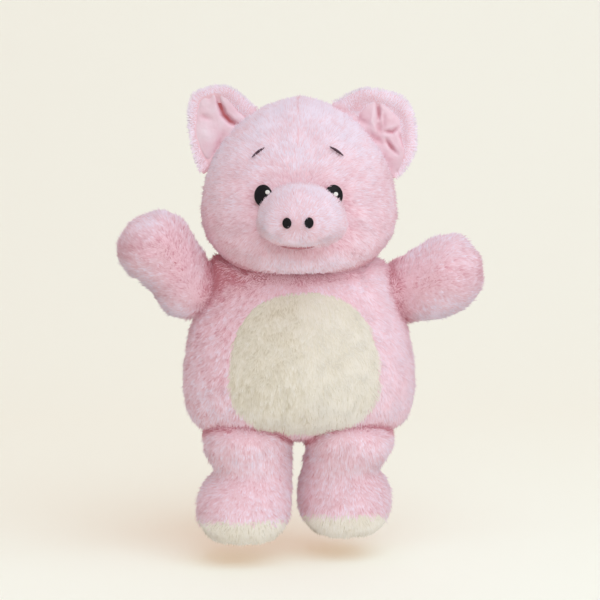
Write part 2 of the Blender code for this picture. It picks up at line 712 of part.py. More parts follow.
def make_tail(root, paint):
    """A thin tail with a round root and one and a bit curls."""
    axis = make_empty("tail_axis", root, TAIL_ROOT)
    turns = np.linspace(0.0, 1.0, 15)
    angle = 2.0 * np.pi * TAIL_TURNS * turns
    widen = np.clip(turns / 0.25, 0.0, 1.0)
    widen = widen * widen * (3.0 - 2.0 * widen)
    x = TAIL_COIL * widen * np.sin(angle)
    z = TAIL_COIL * widen * (1.0 - np.cos(angle)) - 0.4 * TAIL_COIL * widen
    y = 2.0 + TAIL_REACH * turns
    radii = TAIL_THICK + (TAIL_TIP - TAIL_THICK) * turns
    curl = tube("tail", list(zip(x, y, z)), radii, 6, axis, paint["pink_plush"])
    boolean(curl, ball("tail_root_ball", TAIL_BALL, (0.0, 0.0, 0.0), axis, 12, 8), "UNION")


def main():
    clear_scene()
    paint = make_materials()
    root = make_empty("floor_point", None, (-FLOOR_CENTRE[0], -FLOOR_CENTRE[1], 0.0))
    make_body(root, paint)
    neck = make_neck(root, paint)
    head = make_empty("neck_nod_axis", neck, (0.0, 0.0, 0.0), (0.0, 0.0, HEAD_TURN))
    head_skin = make_head(head, paint)
    make_ear("right", -1.0, RIGHT_EAR_OUTLINE, RIGHT_EAR_ROOT, RIGHT_EAR_LEAN, head, head_skin, paint)
    make_ear("left", 1.0, LEFT_EAR_OUTLINE, LEFT_EAR_ROOT, LEFT_EAR_LEAN, head, head_skin, paint)
    make_arm("right", -1.0, RIGHT_SHOULDER, RIGHT_ARM_RISE, RIGHT_ARM_FORWARD, root, paint)
    make_arm("left", 1.0, LEFT_SHOULDER, LEFT_ARM_RISE, LEFT_ARM_FORWARD, root, paint)
    make_leg("right", RIGHT_HIP, RIGHT_FOOT_SHIFT, RIGHT_KNEE, root, paint)
    make_leg("left", LEFT_HIP, LEFT_FOOT_SHIFT, LEFT_KNEE, root, paint)
    make_tail(root, paint)
    bpy.context.view_layer.update()


main()
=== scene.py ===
# %% [markdown]
# # A plush pig
# A soft toy about 330 mm tall, with its arms up. Cloth skins with a short, dense pile are
# sewn into a head, a body, two arms and two legs, and stuffed. The ears are lined with satin
# and the face is embroidered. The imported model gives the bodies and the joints, and this
# lesson dresses them.

# %% Load the frame
import json
import math

import bpy
import numpy as np
from mathutils import Matrix, Vector


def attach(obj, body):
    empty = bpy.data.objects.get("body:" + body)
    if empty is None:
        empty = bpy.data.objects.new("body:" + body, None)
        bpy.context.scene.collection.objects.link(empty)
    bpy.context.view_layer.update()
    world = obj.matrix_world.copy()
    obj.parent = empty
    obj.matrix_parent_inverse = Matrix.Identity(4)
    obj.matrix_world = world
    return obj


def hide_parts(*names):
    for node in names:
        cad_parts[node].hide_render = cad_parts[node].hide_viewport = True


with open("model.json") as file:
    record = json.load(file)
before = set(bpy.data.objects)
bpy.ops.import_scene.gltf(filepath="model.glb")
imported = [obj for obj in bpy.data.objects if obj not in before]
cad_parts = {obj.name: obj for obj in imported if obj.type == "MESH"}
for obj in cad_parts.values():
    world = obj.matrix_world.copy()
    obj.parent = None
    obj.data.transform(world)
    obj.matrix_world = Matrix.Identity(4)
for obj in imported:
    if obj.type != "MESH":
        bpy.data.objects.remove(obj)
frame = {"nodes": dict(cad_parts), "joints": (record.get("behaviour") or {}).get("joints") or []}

MM = 0.001
SIDES = ("right", "left")       # the pig's own; its right is at -X
SIGN = {"right": -1.0, "left": 1.0}
DOWN = np.array((0.0, 0.0, -1.0))
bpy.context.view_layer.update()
joints = {joint["name"]: joint for joint in frame["joints"]}
joint_place = {name: np.array(joint["pos_m"]) / MM for name, joint in joints.items()}
NECK = joint_place["neck_turn"]
FLOOR_UNDER_NECK = NECK * (1.0, 1.0, 0.0)
HEAD_TURN = -5.0        # degrees; the head looks a little to the pig's right
print("neck at", NECK.round(2), "mm")

# %% [markdown]
# ## Shader maths as expressions
# A pattern is arithmetic on numbers that vary over a surface. A small class wraps a socket,
# so that ordinary Python operators add the Math nodes, and one method makes every other node.

# %% Shader maths
class Number:
    """A number in a material's nodes; operators on it add Math nodes."""

    def __init__(self, paint, socket):
        self.paint = paint
        self.socket = socket

    def maths(self, operation, *values):
        node = self.paint.node("ShaderNodeMath", {"operation": operation}, dict(enumerate(values)))
        return Number(self.paint, node.outputs[0])

    def __add__(self, other):
        return self.maths("ADD", self, other)

    __radd__ = __add__

    def __mul__(self, other):
        return self.maths("MULTIPLY", self, other)

    __rmul__ = __mul__

    def __sub__(self, other):
        return self.maths("SUBTRACT", self, other)

    def __rsub__(self, other):
        return self.maths("SUBTRACT", other, self)

    def __pow__(self, other):
        return self.maths("POWER", self, other)

    def clamped(self):
        return self.maths("MINIMUM", self.maths("MAXIMUM", self, 0.0), 1.0)


class Paint:
    """A material built round one Principled shader."""

    def __init__(self, name, roughness, **shader_values):
        self.material = bpy.data.materials.new(name)
        self.material.use_nodes = True
        self.nodes = self.material.node_tree.nodes
        self.links = self.material.node_tree.links
        self.shader = self.nodes["Principled BSDF"]
        self.shader.inputs["Roughness"].default_value = roughness
        for socket, value in shader_values.items():
            self.shader.inputs[socket.replace("_", " ")].default_value = value

    def node(self, kind, settings=None, sockets=None):
        """Any node: its settings first, then values or links for its sockets."""
        made = self.nodes.new(kind)
        for key, value in (settings or {}).items():
            if key == "stops":
                while len(made.color_ramp.elements) < len(value):
                    made.color_ramp.elements.new(0.5)
                for stop, (place, colour) in zip(made.color_ramp.elements, value):
                    stop.position = place
                    stop.color = (*colour, 1.0)
            else:
                setattr(made, key, value)
        for key, value in (sockets or {}).items():
            self.plug(made.inputs[key], value)
        return made

    def plug(self, socket, value):
        if isinstance(value, Number):
            self.links.new(value.socket, socket)
        elif isinstance(value, bpy.types.NodeSocket):
            self.links.new(value, socket)
        elif isinstance(value, tuple) and len(value) == 3 and socket.type == "RGBA":
            socket.default_value = (*value, 1.0)
        else:
            socket.default_value = value

    def place(self):
        """Object coordinates, in metres."""
        return self.node("ShaderNodeTexCoord").outputs["Object"]

    def noise(self, size, detail=2.0, stretch=None):
        """Soft noise whose lumps are about size metres across, from 0 to 1."""
        vector = self.place()
        if stretch:
            vector = self.node("ShaderNodeMapping", None, {"Vector": vector, "Scale": stretch}).outputs[0]
        made = self.node("ShaderNodeTexNoise", None,
                         {"Vector": vector, "Scale": 1.0 / size, "Detail": detail})
        return Number(self, made.outputs[0])

    def attribute(self, name):
        """A number stored on the mesh."""
        made = self.node("ShaderNodeAttribute", {"attribute_name": name})
        return Number(self, made.outputs["Fac"])

    def blend(self, first, second, share):
        """A colour between two colours."""
        made = self.node("ShaderNodeMix", {"data_type": "RGBA"})
        self.plug(made.inputs["Factor"], share)
        self.plug(made.inputs[6], first)
        self.plug(made.inputs[7], second)
        return made.outputs[2]

    def ramp(self, share, *stops):
        """A colour read from stops of place and colour."""
        made = self.node("ShaderNodeValToRGB", {"stops": stops}, {"Fac": share})
        return made.outputs[0]

    def colour(self, value):
        self.plug(self.shader.inputs["Base Color"], value)

    def bump(self, height, depth):
        """Relief of height (0 to 1) over depth metres."""
        made = self.node("ShaderNodeBump", None, {"Strength": 1.0, "Distance": depth, "Height": height})
        self.links.new(made.outputs[0], self.shader.inputs["Normal"])


def mixed(first, second, share):
    """The colour at share of the way from first to second, worked out here."""
    return tuple(a + (b - a) * share for a, b in zip(first, second))


# %% [markdown]
# ## Camera
# The toy is seen from a little above the belly, nearly straight from the front. The camera
# comes first, so that each piece can be judged from where the picture is taken.

# %% Camera
VIEW_HEIGHT = 172.0     # mm, at the middle of the picture
VIEW_DISTANCE = 1600.0
VIEW_AZIMUTH = -4.0
VIEW_ELEVATION = 7.0
VIEW_WIDTH = 432.0      # mm across the picture at the toy
SENSOR = 36.0
scene = bpy.context.scene
scene.view_settings.view_transform = "Standard"
azimuth, elevation = math.radians(VIEW_AZIMUTH), math.radians(VIEW_ELEVATION)
backward = Vector((math.sin(azimuth) * math.cos(elevation), -math.cos(azimuth) * math.cos(elevation),
                   math.sin(elevation)))
looked_at = Vector(FLOOR_UNDER_NECK) + Vector((0.7, 0.0, VIEW_HEIGHT))
lens = bpy.data.cameras.new("camera")
lens.sensor_width = SENSOR
lens.lens = SENSOR * VIEW_DISTANCE / VIEW_WIDTH
camera = bpy.data.objects.new("camera", lens)
scene.collection.objects.link(camera)
camera.location = (looked_at + backward * VIEW_DISTANCE) * MM
camera.rotation_euler = (-backward).to_track_quat("-Z", "Y").to_euler()
scene.camera = camera
print("lens", round(lens.lens, 1), "mm")

# %% [markdown]
# ## Stuffed forms
# A stuffed skin is fullest in the middle and closes round at both ends. Each one is a stack
# of superellipse sections whose sizes follow a smooth curve through a few measured stations,
# so one function makes the body, head, snout, arms and legs. The stations are the tips of the
# pile, and the cloth lies a pile's depth inside them.

# %% Smooth curves and sections
def between(a, b, c, d, steps):
    """Catmull-Rom points from b to c: b + t/2 (c - a + t (2a - 5b + 4c - d + t (3(b - c) + d - a)))."""
    t = np.linspace(0.0, 1.0, steps, endpoint=False)[:, None]
    return b + 0.5 * t * (c - a + t * (2 * a - 5 * b + 4 * c - d + t * (3 * (b - c) + d - a)))


def curve_through(stations, count):
    """Smooth curve through the stations, evenly spaced by place and half width.

    Its six columns are those of a station, with no shift where none is given. Past each end
    the curve goes on mirrored in the axis, so the ends close round.
    """
    table = np.array(stations, dtype=float)
    mirror = np.ones(table.shape[1])
    mirror[1:4] = -1.0
    table = np.vstack([table[1] * mirror, table, table[-2] * mirror])
    dense = between(*(table[k:len(table) - 3 + k, None, :] for k in range(4)), 40)
    dense = np.vstack([dense.reshape(-1, table.shape[1]), table[-2]])
    hops = np.hypot(np.diff(dense[:, 0]), np.diff(dense[:, 1]))
    along = np.concatenate([[0.0], np.cumsum(hops)])
    places = np.linspace(0.0, along[-1], count)
    rows = np.zeros((count, 6))
    rows[:, :table.shape[1]] = np.stack([np.interp(places, along, column) for column in dense.T], axis=1)
    return rows


def rising(value, start, span):
    """0 at the start and 1 past a span from it, straight between; below 0, the span goes down."""
    return np.clip((value - start) / span, 0.0, 1.0)


def signed_power(value, exponent):
    """The sign of value times its size to a power."""
    return np.sign(value) * np.abs(value) ** exponent


def sections(stations, rings, sides, roundness):
    """Grid (rings, sides, 3): superellipses with |x/w|^n + |y/d|^n = 1 in each ring.

    A row of stations holds place, half width, front, back, and then any shift in x and y.
    """
    rows = curve_through(stations, rings)
    angle = np.linspace(0.0, 2.0 * np.pi, sides, endpoint=False)
    across = signed_power(np.cos(angle), 2.0 / roundness)
    deep = signed_power(np.sin(angle), 2.0 / roundness)
    place, width, front, back, shift_x, shift_y = (rows[:, i:i + 1] for i in range(6))
    x = shift_x + width * across
    y = shift_y + np.where(deep < 0.0, front, back) * deep
    return np.stack([x, y, place + 0.0 * x], axis=2)


def grid_normals(grid):
    """Outward unit normals of a grid of rings, from its neighbours round and along."""
    around = np.roll(grid, -1, axis=1) - np.roll(grid, 1, axis=1)
    along = np.empty_like(grid)
    along[1:-1] = grid[2:] - grid[:-2]
    along[0] = grid[1] - grid[0]
    along[-1] = grid[-1] - grid[-2]
    normal = np.cross(around, along)
    normal /= np.maximum(np.linalg.norm(normal, axis=2, keepdims=True), 1e-9)
    normal[0] = (0.0, 0.0, -1.0)
    normal[-1] = (0.0, 0.0, 1.0)
    return normal


def inset(stations, depth, rings, sides, roundness):
    """The skin at a depth inside the outline that the stations give."""
    grid = sections(stations, rings, sides, roundness)
    return grid - depth * grid_normals(grid)


def onto_ball(grid, centre, radius, outside, where):
    """Points that where picks are moved along their radius onto a ball.

    With outside, points that are inside the ball move out to it; otherwise the reverse.
    """
    away = grid - np.array(centre)
    reach = np.linalg.norm(away, axis=2, keepdims=True)
    crosses = reach < radius if outside else reach > radius
    moved = np.array(centre) + away * radius / np.maximum(reach, 1e-9)
    return np.where(crosses & where(grid)[:, :, None], moved, grid)


arch = curve_through([(-9, 0, 0, 0), (0, 9, 9, 9), (9, 0, 0, 0)], 7)
print("half widths along an arch", arch[:, 1].round(1))

# %% [markdown]
# ## Meshes from arrays
# A grid of rings becomes a closed skin: its two end rows shrink to single poles. Everything
# is written into the mesh as whole arrays, which is far quicker than adding faces one by one.

# %% Meshes
def new_object(name, mesh, material):
    """Link a mesh with its material, smooth."""
    mesh.materials.append(material)
    mesh.shade_smooth()
    made = bpy.data.objects.new(name, mesh)
    scene.collection.objects.link(made)
    return made


def quads_between(rings, sides, first=0):
    """Quads of rings of points, each ring joined to the next."""
    i, j = np.meshgrid(np.arange(rings - 1), np.arange(sides), indexing="ij")
    here, right = i * sides + j, i * sides + (j + 1) % sides
    return first + np.stack([here, right, right + sides, here + sides], axis=2).reshape(-1, 4)


def closed_skin(grid):
    """Points and faces of a grid whose first and last rings are poles."""
    rings, sides = grid.shape[0] - 2, grid.shape[1]
    points = np.vstack([grid[0].mean(axis=0), grid[1:-1].reshape(-1, 3), grid[-1].mean(axis=0)])
    j = np.arange(sides)
    k = (j + 1) % sides
    low = np.stack([0 * j, 1 + k, 1 + j], axis=1)
    high = np.stack([0 * j + len(points) - 1, 1 + (rings - 1) * sides + j,
                     1 + (rings - 1) * sides + k], axis=1)
    return points, quads_between(rings, sides, 1), np.vstack([low, high])


def write_mesh(name, points, quads, triangles):
    """A mesh from arrays in millimetres."""
    mesh = bpy.data.meshes.new(name)
    mesh.vertices.add(len(points))
    mesh.vertices.foreach_set("co", (np.asarray(points) * MM).astype(np.float32).ravel())
    corners = np.concatenate([np.ravel(quads), np.ravel(triangles)]).astype(np.int32)
    totals = np.concatenate([np.full(len(quads), 4), np.full(len(triangles), 3)]).astype(np.int32)
    starts = np.concatenate([[0], np.cumsum(totals)[:-1]]).astype(np.int32)
    mesh.loops.add(len(corners))
    mesh.loops.foreach_set("vertex_index", corners)
    mesh.polygons.add(len(totals))
    mesh.polygons.foreach_set("loop_start", starts)
    mesh.polygons.foreach_set("loop_total", totals)
    mesh.update(calc_edges=True)
    return mesh


def add_piece(name, skin, material):
    """A piece of the toy from the points, quads and triangles of a closed skin."""
    return new_object(name, write_mesh(name, *skin), material)


def placed(grid, turn, place):
    """A grid turned by a 3 x 3 matrix and moved."""
    return grid @ np.array(turn).T + np.array(place)


def turn_z(angle):
    """Matrix of a turn about Z in degrees."""
    return np.array(Matrix.Rotation(math.radians(angle), 3, "Z"))


print("a skin of 6 rings and 8 sides has", len(closed_skin(np.zeros((6, 8, 3)))[0]), "points")

# %% [markdown]
# ## Materials
# The cloth under the pile is a darker pink knit, seen only where the pile parts. The fibres are dull and no
# two have quite the same shade; they are paler at their tips, with painted shade towards the roots and in
# the nooks, and painted light on some panels. Broad soft noise adds the mottled look of plush that has been
# stroked in different directions.

# %% Plush and cloth
# DEEP_ROSE and DEEP_CREAM are the colours of the deepest painted shade; PALE_PINK and PALE_CREAM those of
# the fibre tips and of painted light
DEEP_ROSE = (0.50, 0.18, 0.22)
ROSE = (0.68, 0.37, 0.44)
PINK = (0.79, 0.55, 0.63)
PALE_PINK = (0.83, 0.71, 0.84)
DEEP_CREAM = (0.48, 0.41, 0.31)
CREAM_SHADE = (0.62, 0.565, 0.465)
CREAM = (0.70, 0.65, 0.565)
PALE_CREAM = (0.755, 0.72, 0.67)


def pile_paint(name, *shades):
    """Fibres: painted shade deep in the nooks and at the root, pale at the tip, each a little different."""
    paint = Paint(name, 0.95, Specular_IOR_Level=0.1)
    along = paint.attribute("along")
    shade = paint.attribute("shade")
    nook = paint.attribute("nook")
    stroked = paint.noise(0.018, 2.0)
    share = (along * 0.34 + shade * 0.2 + stroked * 0.4 + 0.15 - nook * 0.5).clamped()
    paint.colour(paint.ramp(share, *zip((0.0, 0.35, 0.6, 0.9), shades)))
    return paint.material


def cloth_paint(name, deep, middle):
    """Knitted backing cloth: fine ribs and soft mottling."""
    paint = Paint(name, 0.95)
    mottle = paint.noise(0.004, 3.0)
    rib = paint.noise(0.0007, 1.0, (1.0, 1.0, 0.4))
    paint.colour(paint.blend(deep, middle, (mottle * 0.8 + rib * 0.3 - 0.1).clamped()))
    paint.bump(rib, 0.0002)
    return paint.material


pink_pile = pile_paint("pink_pile", DEEP_ROSE, ROSE, PINK, PALE_PINK)
cream_pile = pile_paint("cream_pile", DEEP_CREAM, CREAM_SHADE, CREAM, PALE_CREAM)
pink_cloth = cloth_paint("pink_cloth", mixed(ROSE, PINK, 0.5), PINK)
cream_cloth = cloth_paint("cream_cloth", mixed(CREAM_SHADE, CREAM, 0.2), CREAM)
print("plush", [plush.name for plush in (pink_pile, cream_pile, pink_cloth, cream_cloth)])

# %% [markdown]
# The other finishes: satin for the ear linings, which is smooth and a little glossy, glossy
# embroidery threads, and matt white wadding inside.

# %% Satin, threads and wadding
def satin_paint():
    """Satin: soft gloss, a very fine weave, and painted shade, deeper and redder, where it folds in."""
    paint = Paint("pink_satin", 0.6, Specular_IOR_Level=0.2)
    fold = paint.attribute("fold")
    cloud = paint.noise(0.009, 2.0)
    share = (cloud * 0.6 + 0.4 - fold * 0.85).clamped()
    paint.colour(paint.ramp(share, (0.0, (0.42, 0.10, 0.115)), (0.3, (0.60, 0.31, 0.38)),
                            (0.55, (0.74, 0.52, 0.61)), (1.0, (0.78, 0.68, 0.77))))
    weave = paint.noise(0.0005, 1.0, (1.0, 1.0, 3.0))
    crumple = paint.noise(0.003, 2.0)
    paint.bump(weave * 0.15 + crumple * 0.85, 0.0004)
    return paint.material


def thread_paint(name, colour, roughness):
    """Embroidery thread: fine strands with a twist, and a soft shine."""
    paint = Paint(name, roughness, Specular_IOR_Level=0.12)
    strand = paint.noise(0.0006, 2.0, (0.3, 1.0, 1.0))
    lighter = tuple(min(1.3 * part, 0.9) for part in colour)
    paint.colour(paint.blend(mixed(colour, (0.0, 0.0, 0.0), 0.35), lighter, strand))
    paint.bump(strand, 0.0002)
    return paint.material


def wadding_paint():
    """Fibre fill: white and matt, with soft wisps."""
    paint = Paint("wadding", 1.0)
    wisp = paint.noise(0.002, 3.0, (1.0, 0.4, 1.0))
    paint.colour(paint.blend((0.74, 0.74, 0.72), (0.88, 0.88, 0.86), wisp))
    paint.bump(wisp, 0.0005)
    return paint.material


satin = satin_paint()
black_thread = thread_paint("black_thread", (0.010, 0.009, 0.011), 0.45)
white_thread = thread_paint("white_thread", (0.86, 0.86, 0.84), 0.40)
brown_thread = thread_paint("brown_thread", (0.09, 0.05, 0.07), 0.7)
rose_thread = thread_paint("rose_thread", (0.50, 0.22, 0.26), 0.7)
wadding = wadding_paint()
neck_seam = frame["nodes"]["neck_seam"].data
neck_seam.materials.clear()
neck_seam.materials.append(rose_thread)
print("finishes", [finish.name for finish in bpy.data.materials])

# %% [markdown]
# ## How the pile is made
# Real plush is a dense field of fine fibres that lean one way, drawn into soft tufts. Each
# fibre here is a flat three-sided spike with a bend in it. Its root is a random point of the
# cloth, its lean follows the direction in which the panel was combed, and slow waves through
# space turn neighbours alike and draw their tips together, which makes the tufts. Light soaks
# through the pale fibres, so they throw no shadow on each other.

# %% Random points and waves
def scatter(points, quads, triangles, spacing, rng):
    """Random points of a skin, one for each spacing square millimetres, with their normals."""
    faces = np.vstack([quads[:, [0, 1, 2]], quads[:, [0, 2, 3]], triangles])
    a, b, c = (points[faces[:, k]] for k in range(3))
    cross = np.cross(b - a, c - a)
    area = 0.5 * np.linalg.norm(cross, axis=1)
    total = np.cumsum(area)
    count = int(total[-1] / spacing)
    picks = (np.arange(count) + rng.random(count)) * total[-1] / count
    face = np.minimum(np.searchsorted(total, picks), len(faces) - 1)
    u, v = rng.random((2, count, 1))
    fold = u + v > 1.0
    u, v = np.where(fold, 1.0 - u, u), np.where(fold, 1.0 - v, v)
    normal = np.zeros_like(points)
    for k in range(3):
        np.add.at(normal, faces[:, k], cross)
    normal /= np.maximum(np.linalg.norm(normal, axis=1, keepdims=True), 1e-9)
    roots = a[face] + u * (b[face] - a[face]) + v * (c[face] - a[face])
    corners = faces[face]
    up = normal[corners[:, 0]] * (1.0 - u - v) + normal[corners[:, 1]] * u + normal[corners[:, 2]] * v
    return roots, up / np.maximum(np.linalg.norm(up, axis=1, keepdims=True), 1e-9)


def waves(points, length, seed, count=24):
    """Slow random waves: a value and its slope at each point.

    The value is the mean of sines of random directions whose wavelengths are about length.
    """
    rng = np.random.default_rng(seed)
    heading = rng.normal(size=(3, count))
    heading /= np.linalg.norm(heading, axis=0)
    heading *= 2.0 * np.pi / (length * rng.uniform(0.7, 1.4, count))
    phase = points @ heading + rng.uniform(0.0, 2.0 * np.pi, count)
    scale = math.sqrt(2.0 / count)
    return scale * np.sin(phase).sum(axis=1), scale * np.cos(phase) @ heading.T


def unit(vectors):
    """Vectors of length one."""
    return vectors / np.maximum(np.linalg.norm(vectors, axis=-1, keepdims=True), 1e-9)


print("waves at the neck", waves(NECK[None], 9.0, 7)[0].round(2))

# %% [markdown]
# Each fibre has its own cell in the piece's map, so that a baked picture of the pile keeps
# the change from root to tip.

# %% Fibres
FIBRE_FACES = np.array([[2, 1, 0], [3, 2, 0], [1, 3, 0], [1, 2, 4], [2, 3, 4], [3, 1, 4]])
FIBRE_POINTS = 5        # root, three round the bend, tip
BEND = 0.6              # how far along the fibre it bends, where it is thickest
SKYWARD = np.array((0.0, 0.0, 0.4))   # turns its shading to the light that soaks down the pile
OVER = 0.35             # how far over each face its shading must look
FLATNESS = 0.5          # its thickness over its width; the flat side lies outwards
NO_QUADS = np.zeros((0, 4), dtype=int)


def fibre_map(count):
    """Places in the map for each corner: three columns a fibre, root at the bottom of its cell."""
    side = int(math.ceil(math.sqrt(count)))
    corners = []
    for k in range(3):
        left, right = (k + 0.1) / 3.0, (k + 0.9) / 3.0
        corners += [(right, 0.46), (left, 0.46), (0.5 * (left + right), 0.05)]
    for k in range(3):
        left, right = (k + 0.1) / 3.0, (k + 0.9) / 3.0
        corners += [(left, 0.54), (right, 0.54), (0.5 * (left + right), 0.95)]
    cell = np.stack([np.arange(count) % side, np.arange(count) // side], axis=1)[:, None, :]
    return ((cell + np.array(corners)) / side).reshape(-1, 2)


def make_pile(name, roots, normals, comb, length, material, seed, nook, width=0.62, lean=0.75,
              stray=0.1, tuft=0.28, tuft_size=5.0, ruffle=0.12, sky=SKYWARD):
    """One mesh of fibres from roots; comb is the way each is combed, lean how far it lies over.

    A tuft leaves a valley beside it, and ruffle is how much deeper in shade the valleys are.
    Each fibre is shaded like the cloth it stands on, except that a face turned away from there
    has its shading lifted over itself: n + f * max(OVER - n.f, 0).
    """
    rng = np.random.default_rng(seed)
    count = len(roots)
    flat = comb - normals * np.sum(comb * normals, axis=1, keepdims=True)
    flat /= np.sqrt(np.sum(flat * flat, axis=1, keepdims=True) + 0.04)
    sway = np.stack([waves(roots, 16.0, seed + k)[0] for k in (1, 2, 3)], axis=1)
    (broad, broad_slope), (fine, fine_slope) = (waves(roots, tuft_size * part, seed + 4 + k)
                                                for k, part in enumerate((1.0, 0.45)))
    pull = -tuft * (broad_slope + 0.35 * fine_slope)
    nook = nook + ruffle * (0.6 * broad + 0.8 * fine)
    pull -= normals * np.sum(pull * normals, axis=1, keepdims=True)
    lift = 1.0 + 0.25 * waves(roots, 9.0, seed + 6)[0][:, None]
    start = unit(normals * lift + flat * lean + 0.15 * sway + stray * rng.normal(size=(count, 3)))
    size = length * (1.0 + 0.08 * rng.normal(size=(count, 1))).clip(0.75, 1.25)
    size *= np.where(rng.random((count, 1)) < 0.08, 1.3, 1.0)
    bend = roots + start * size * BEND
    onward = unit(start + 0.35 * flat + 0.16 * stray * rng.normal(size=(count, 3)) + 0.42 * pull)
    tip = bend + onward * size * (1.0 - BEND)
    across = unit(np.cross(start, normals + 0.3 * rng.normal(size=(count, 3))))
    inward = np.cross(start, across)
    rays = [math.cos(turn) * across + FLATNESS * math.sin(turn) * inward
            for turn in np.pi * (0.5 + 2.0 / 3.0 * np.arange(3))]
    points = np.stack([roots - start * 0.6, *(bend + 0.5 * width * ray for ray in rays), tip], axis=1)
    roots_at = (np.arange(count) * FIBRE_POINTS)[:, None, None]
    mesh = write_mesh(name, points.reshape(-1, 3), NO_QUADS, (roots_at + FIBRE_FACES).reshape(-1, 3))
    first, second, third = (points[:, FIBRE_FACES[:, k]] for k in range(3))
    facing = unit(np.cross(second - first, third - first))
    lit = unit(normals + sky)[:, None, :]
    soft = unit(lit + facing * np.clip(OVER - np.sum(lit * facing, axis=2, keepdims=True), 0.0, None))
    mesh.normals_split_custom_set(np.repeat(soft, 3, axis=1).reshape(-1, 3))
    along = np.tile([0.0, BEND, BEND, BEND, 1.0], count)
    shade = np.repeat((0.5 + 0.22 * rng.normal(size=count)).clip(0.0, 1.0), FIBRE_POINTS)
    for key, values in (("along", along), ("shade", shade), ("nook", np.repeat(nook, FIBRE_POINTS))):
        mesh.attributes.new(key, "FLOAT", "POINT").data.foreach_set("value", values.astype(np.float32))
    mesh.uv_layers.new(name="OFBake").data.foreach_set("uv", fibre_map(count).astype(np.float32).ravel())
    print(name, count, "fibres")
    pile = new_object(name, mesh, material)
    pile.visible_shadow = False
    pile.visible_diffuse = False
    return pile


print("a fibre has", FIBRE_POINTS, "points and", len(FIBRE_FACES), "faces")

# %% [markdown]
# ## The body
# The body is a plump egg, widest below the middle, with a cream patch on the belly. Its top
# stays inside a ball round the neck's centre, because the head rocks on it. The cloth is a
# pile's depth inside the outline, and each leg and arm has its socket pushed in as a hollow.

# %% Body measures
PILE_DEPTH = 3.8        # mm from the cloth to the outline
WADDING_DEPTH = 8.6
BODY = [
    (71.0, 0.0, 0.0, 0.0), (73.5, 46.0, 23.5, 31.0), (79.0, 70.0, 34.0, 43.0),
    (88.0, 79.5, 47.5, 49.0), (101.0, 83.0, 58.0, 54.0), (117.0, 84.0, 63.0, 56.5),
    (134.0, 82.3, 62.0, 56.0), (151.0, 79.0, 58.5, 53.5), (168.0, 73.0, 54.0, 50.0),
    (184.0, 64.5, 49.0, 46.0), (194.0, 54.5, 42.0, 40.0), (202.5, 39.0, 32.0, 31.0),
    (210.0, 0.0, 0.0, 0.0),
]
SHOULDERS = [
    (184.0, 68.0, 49.0, 46.0), (194.0, 66.0, 42.0, 40.0), (200.0, 64.5, 37.0, 35.0),
    (206.0, 55.0, 28.0, 28.0), (211.0, 0.0, 0.0, 0.0),
]
BODY_SOFT = BODY[:-4] + SHOULDERS
BODY_ROUND = 2.15
NECK_BALL = 103.5
BELLY = (121.0, 52.0, 62.0, 37.0)   # height of its widest line, half width, rise, drop
BELLY_ROUND = 2.4
BELLY_SHIFT = 0.6       # it sits a little to the left
SPACING = 0.65          # square millimetres of cloth for each fibre


def in_toy(points):
    """Points drawn round the axis under the neck, moved to where the toy stands."""
    return points + FLOOR_UNDER_NECK


def body_surface(depth, rings, sides):
    """The body's skin at a depth inside its outline, its top kept inside the neck ball."""
    grid = inset(BODY_SOFT, depth, rings, sides, BODY_ROUND)
    lower = 0.35 * rising(grid[:, :, 0], 35.0, 25.0)     # the left shoulder sits lower
    grid[:, :, 2] -= lower * np.clip(grid[:, :, 2] - 188.0, 0.0, None)
    shoulder = 14.0 * rising(np.abs(grid[:, :, :1]), 42.0, 20.0)
    return onto_ball(grid, (0.0, 0.0, NECK[2]), NECK_BALL - depth + shoulder, False,
                     lambda g: g[:, :, 2] > 160.0)


def belly_share(x, z):
    """Below 1 inside the belly patch: (x/w)^n + (z/h)^n with its own rise and drop."""
    height, half, rise, drop = BELLY
    tall = np.where(z > height, rise, drop)
    return np.abs((x - BELLY_SHIFT) / half) ** BELLY_ROUND + np.abs((z - height) / tall) ** BELLY_ROUND


body_skin = closed_skin(in_toy(body_surface(PILE_DEPTH, 110, 180)))
body_cloth = add_piece("body_cloth", body_skin, pink_cloth)
body_filling = add_piece("body_filling", closed_skin(in_toy(body_surface(WADDING_DEPTH, 40, 64))), wadding)
print("body cloth", len(body_skin[0]), "points")

# %% [markdown]
# ## Nooks
# No fibre grows where a limb or the head is sewn on: it would only be lost inside. Where two forms meet,
# light reaches the pile only through more pile and comes out rosier, so shade is painted there: the fibres
# are given a deeper colour. Both need one measure: how far a point is from another form.

# %% Distance from a form
def form_gap(points, stations, roundness):
    """Roughly how far outside a form each point is, negative inside.

    In the ring at the point's height, |x/w|^n + |y/d|^n = k^n, and the gap is (k - 1) times
    the lesser radius; beyond the ends the height over the end is added.
    """
    rows = curve_through(stations, 200)
    order = np.argsort(rows[:, 0])
    width, front, back, shift_x, shift_y = (np.interp(points[:, 2], rows[order, 0], rows[order, k])
                                            for k in range(1, 6))
    x, y = points[:, 0] - shift_x, points[:, 1] - shift_y
    deep = np.where(y < 0.0, front, back)
    share = (np.abs(x) / np.maximum(width, 2.0)) ** roundness
    share += (np.abs(y) / np.maximum(deep, 2.0)) ** roundness
    level = np.maximum(share, 1e-6) ** (1.0 / roundness)
    beyond = np.maximum(rows[:, 0].min() - points[:, 2], points[:, 2] - rows[:, 0].max())
    return np.maximum((level - 1.0) * np.maximum(np.minimum(width, deep), 2.0), beyond)


def nook_of(*gaps, reach=5.5):
    """Shade of the nook between forms: the sum of exp(-(gap / reach)^2), at most 1."""
    return np.clip(sum(np.exp(-(np.maximum(gap, 0.0) / reach) ** 2) for gap in gaps), 0.0, 1.0)


print("the neck's centre lies", form_gap(NECK[None] - FLOOR_UNDER_NECK, BODY_SOFT, BODY_ROUND).round(1),
      "mm from the body's outline")

# %% [markdown]
# ## The head
# The head is a ball with full cheeks, flattened a little in front, and hollowed underneath so
# that it sits on the body like a cup. A blunt snout is sewn on in front. Both turn with the
# head, which looks slightly to one side.

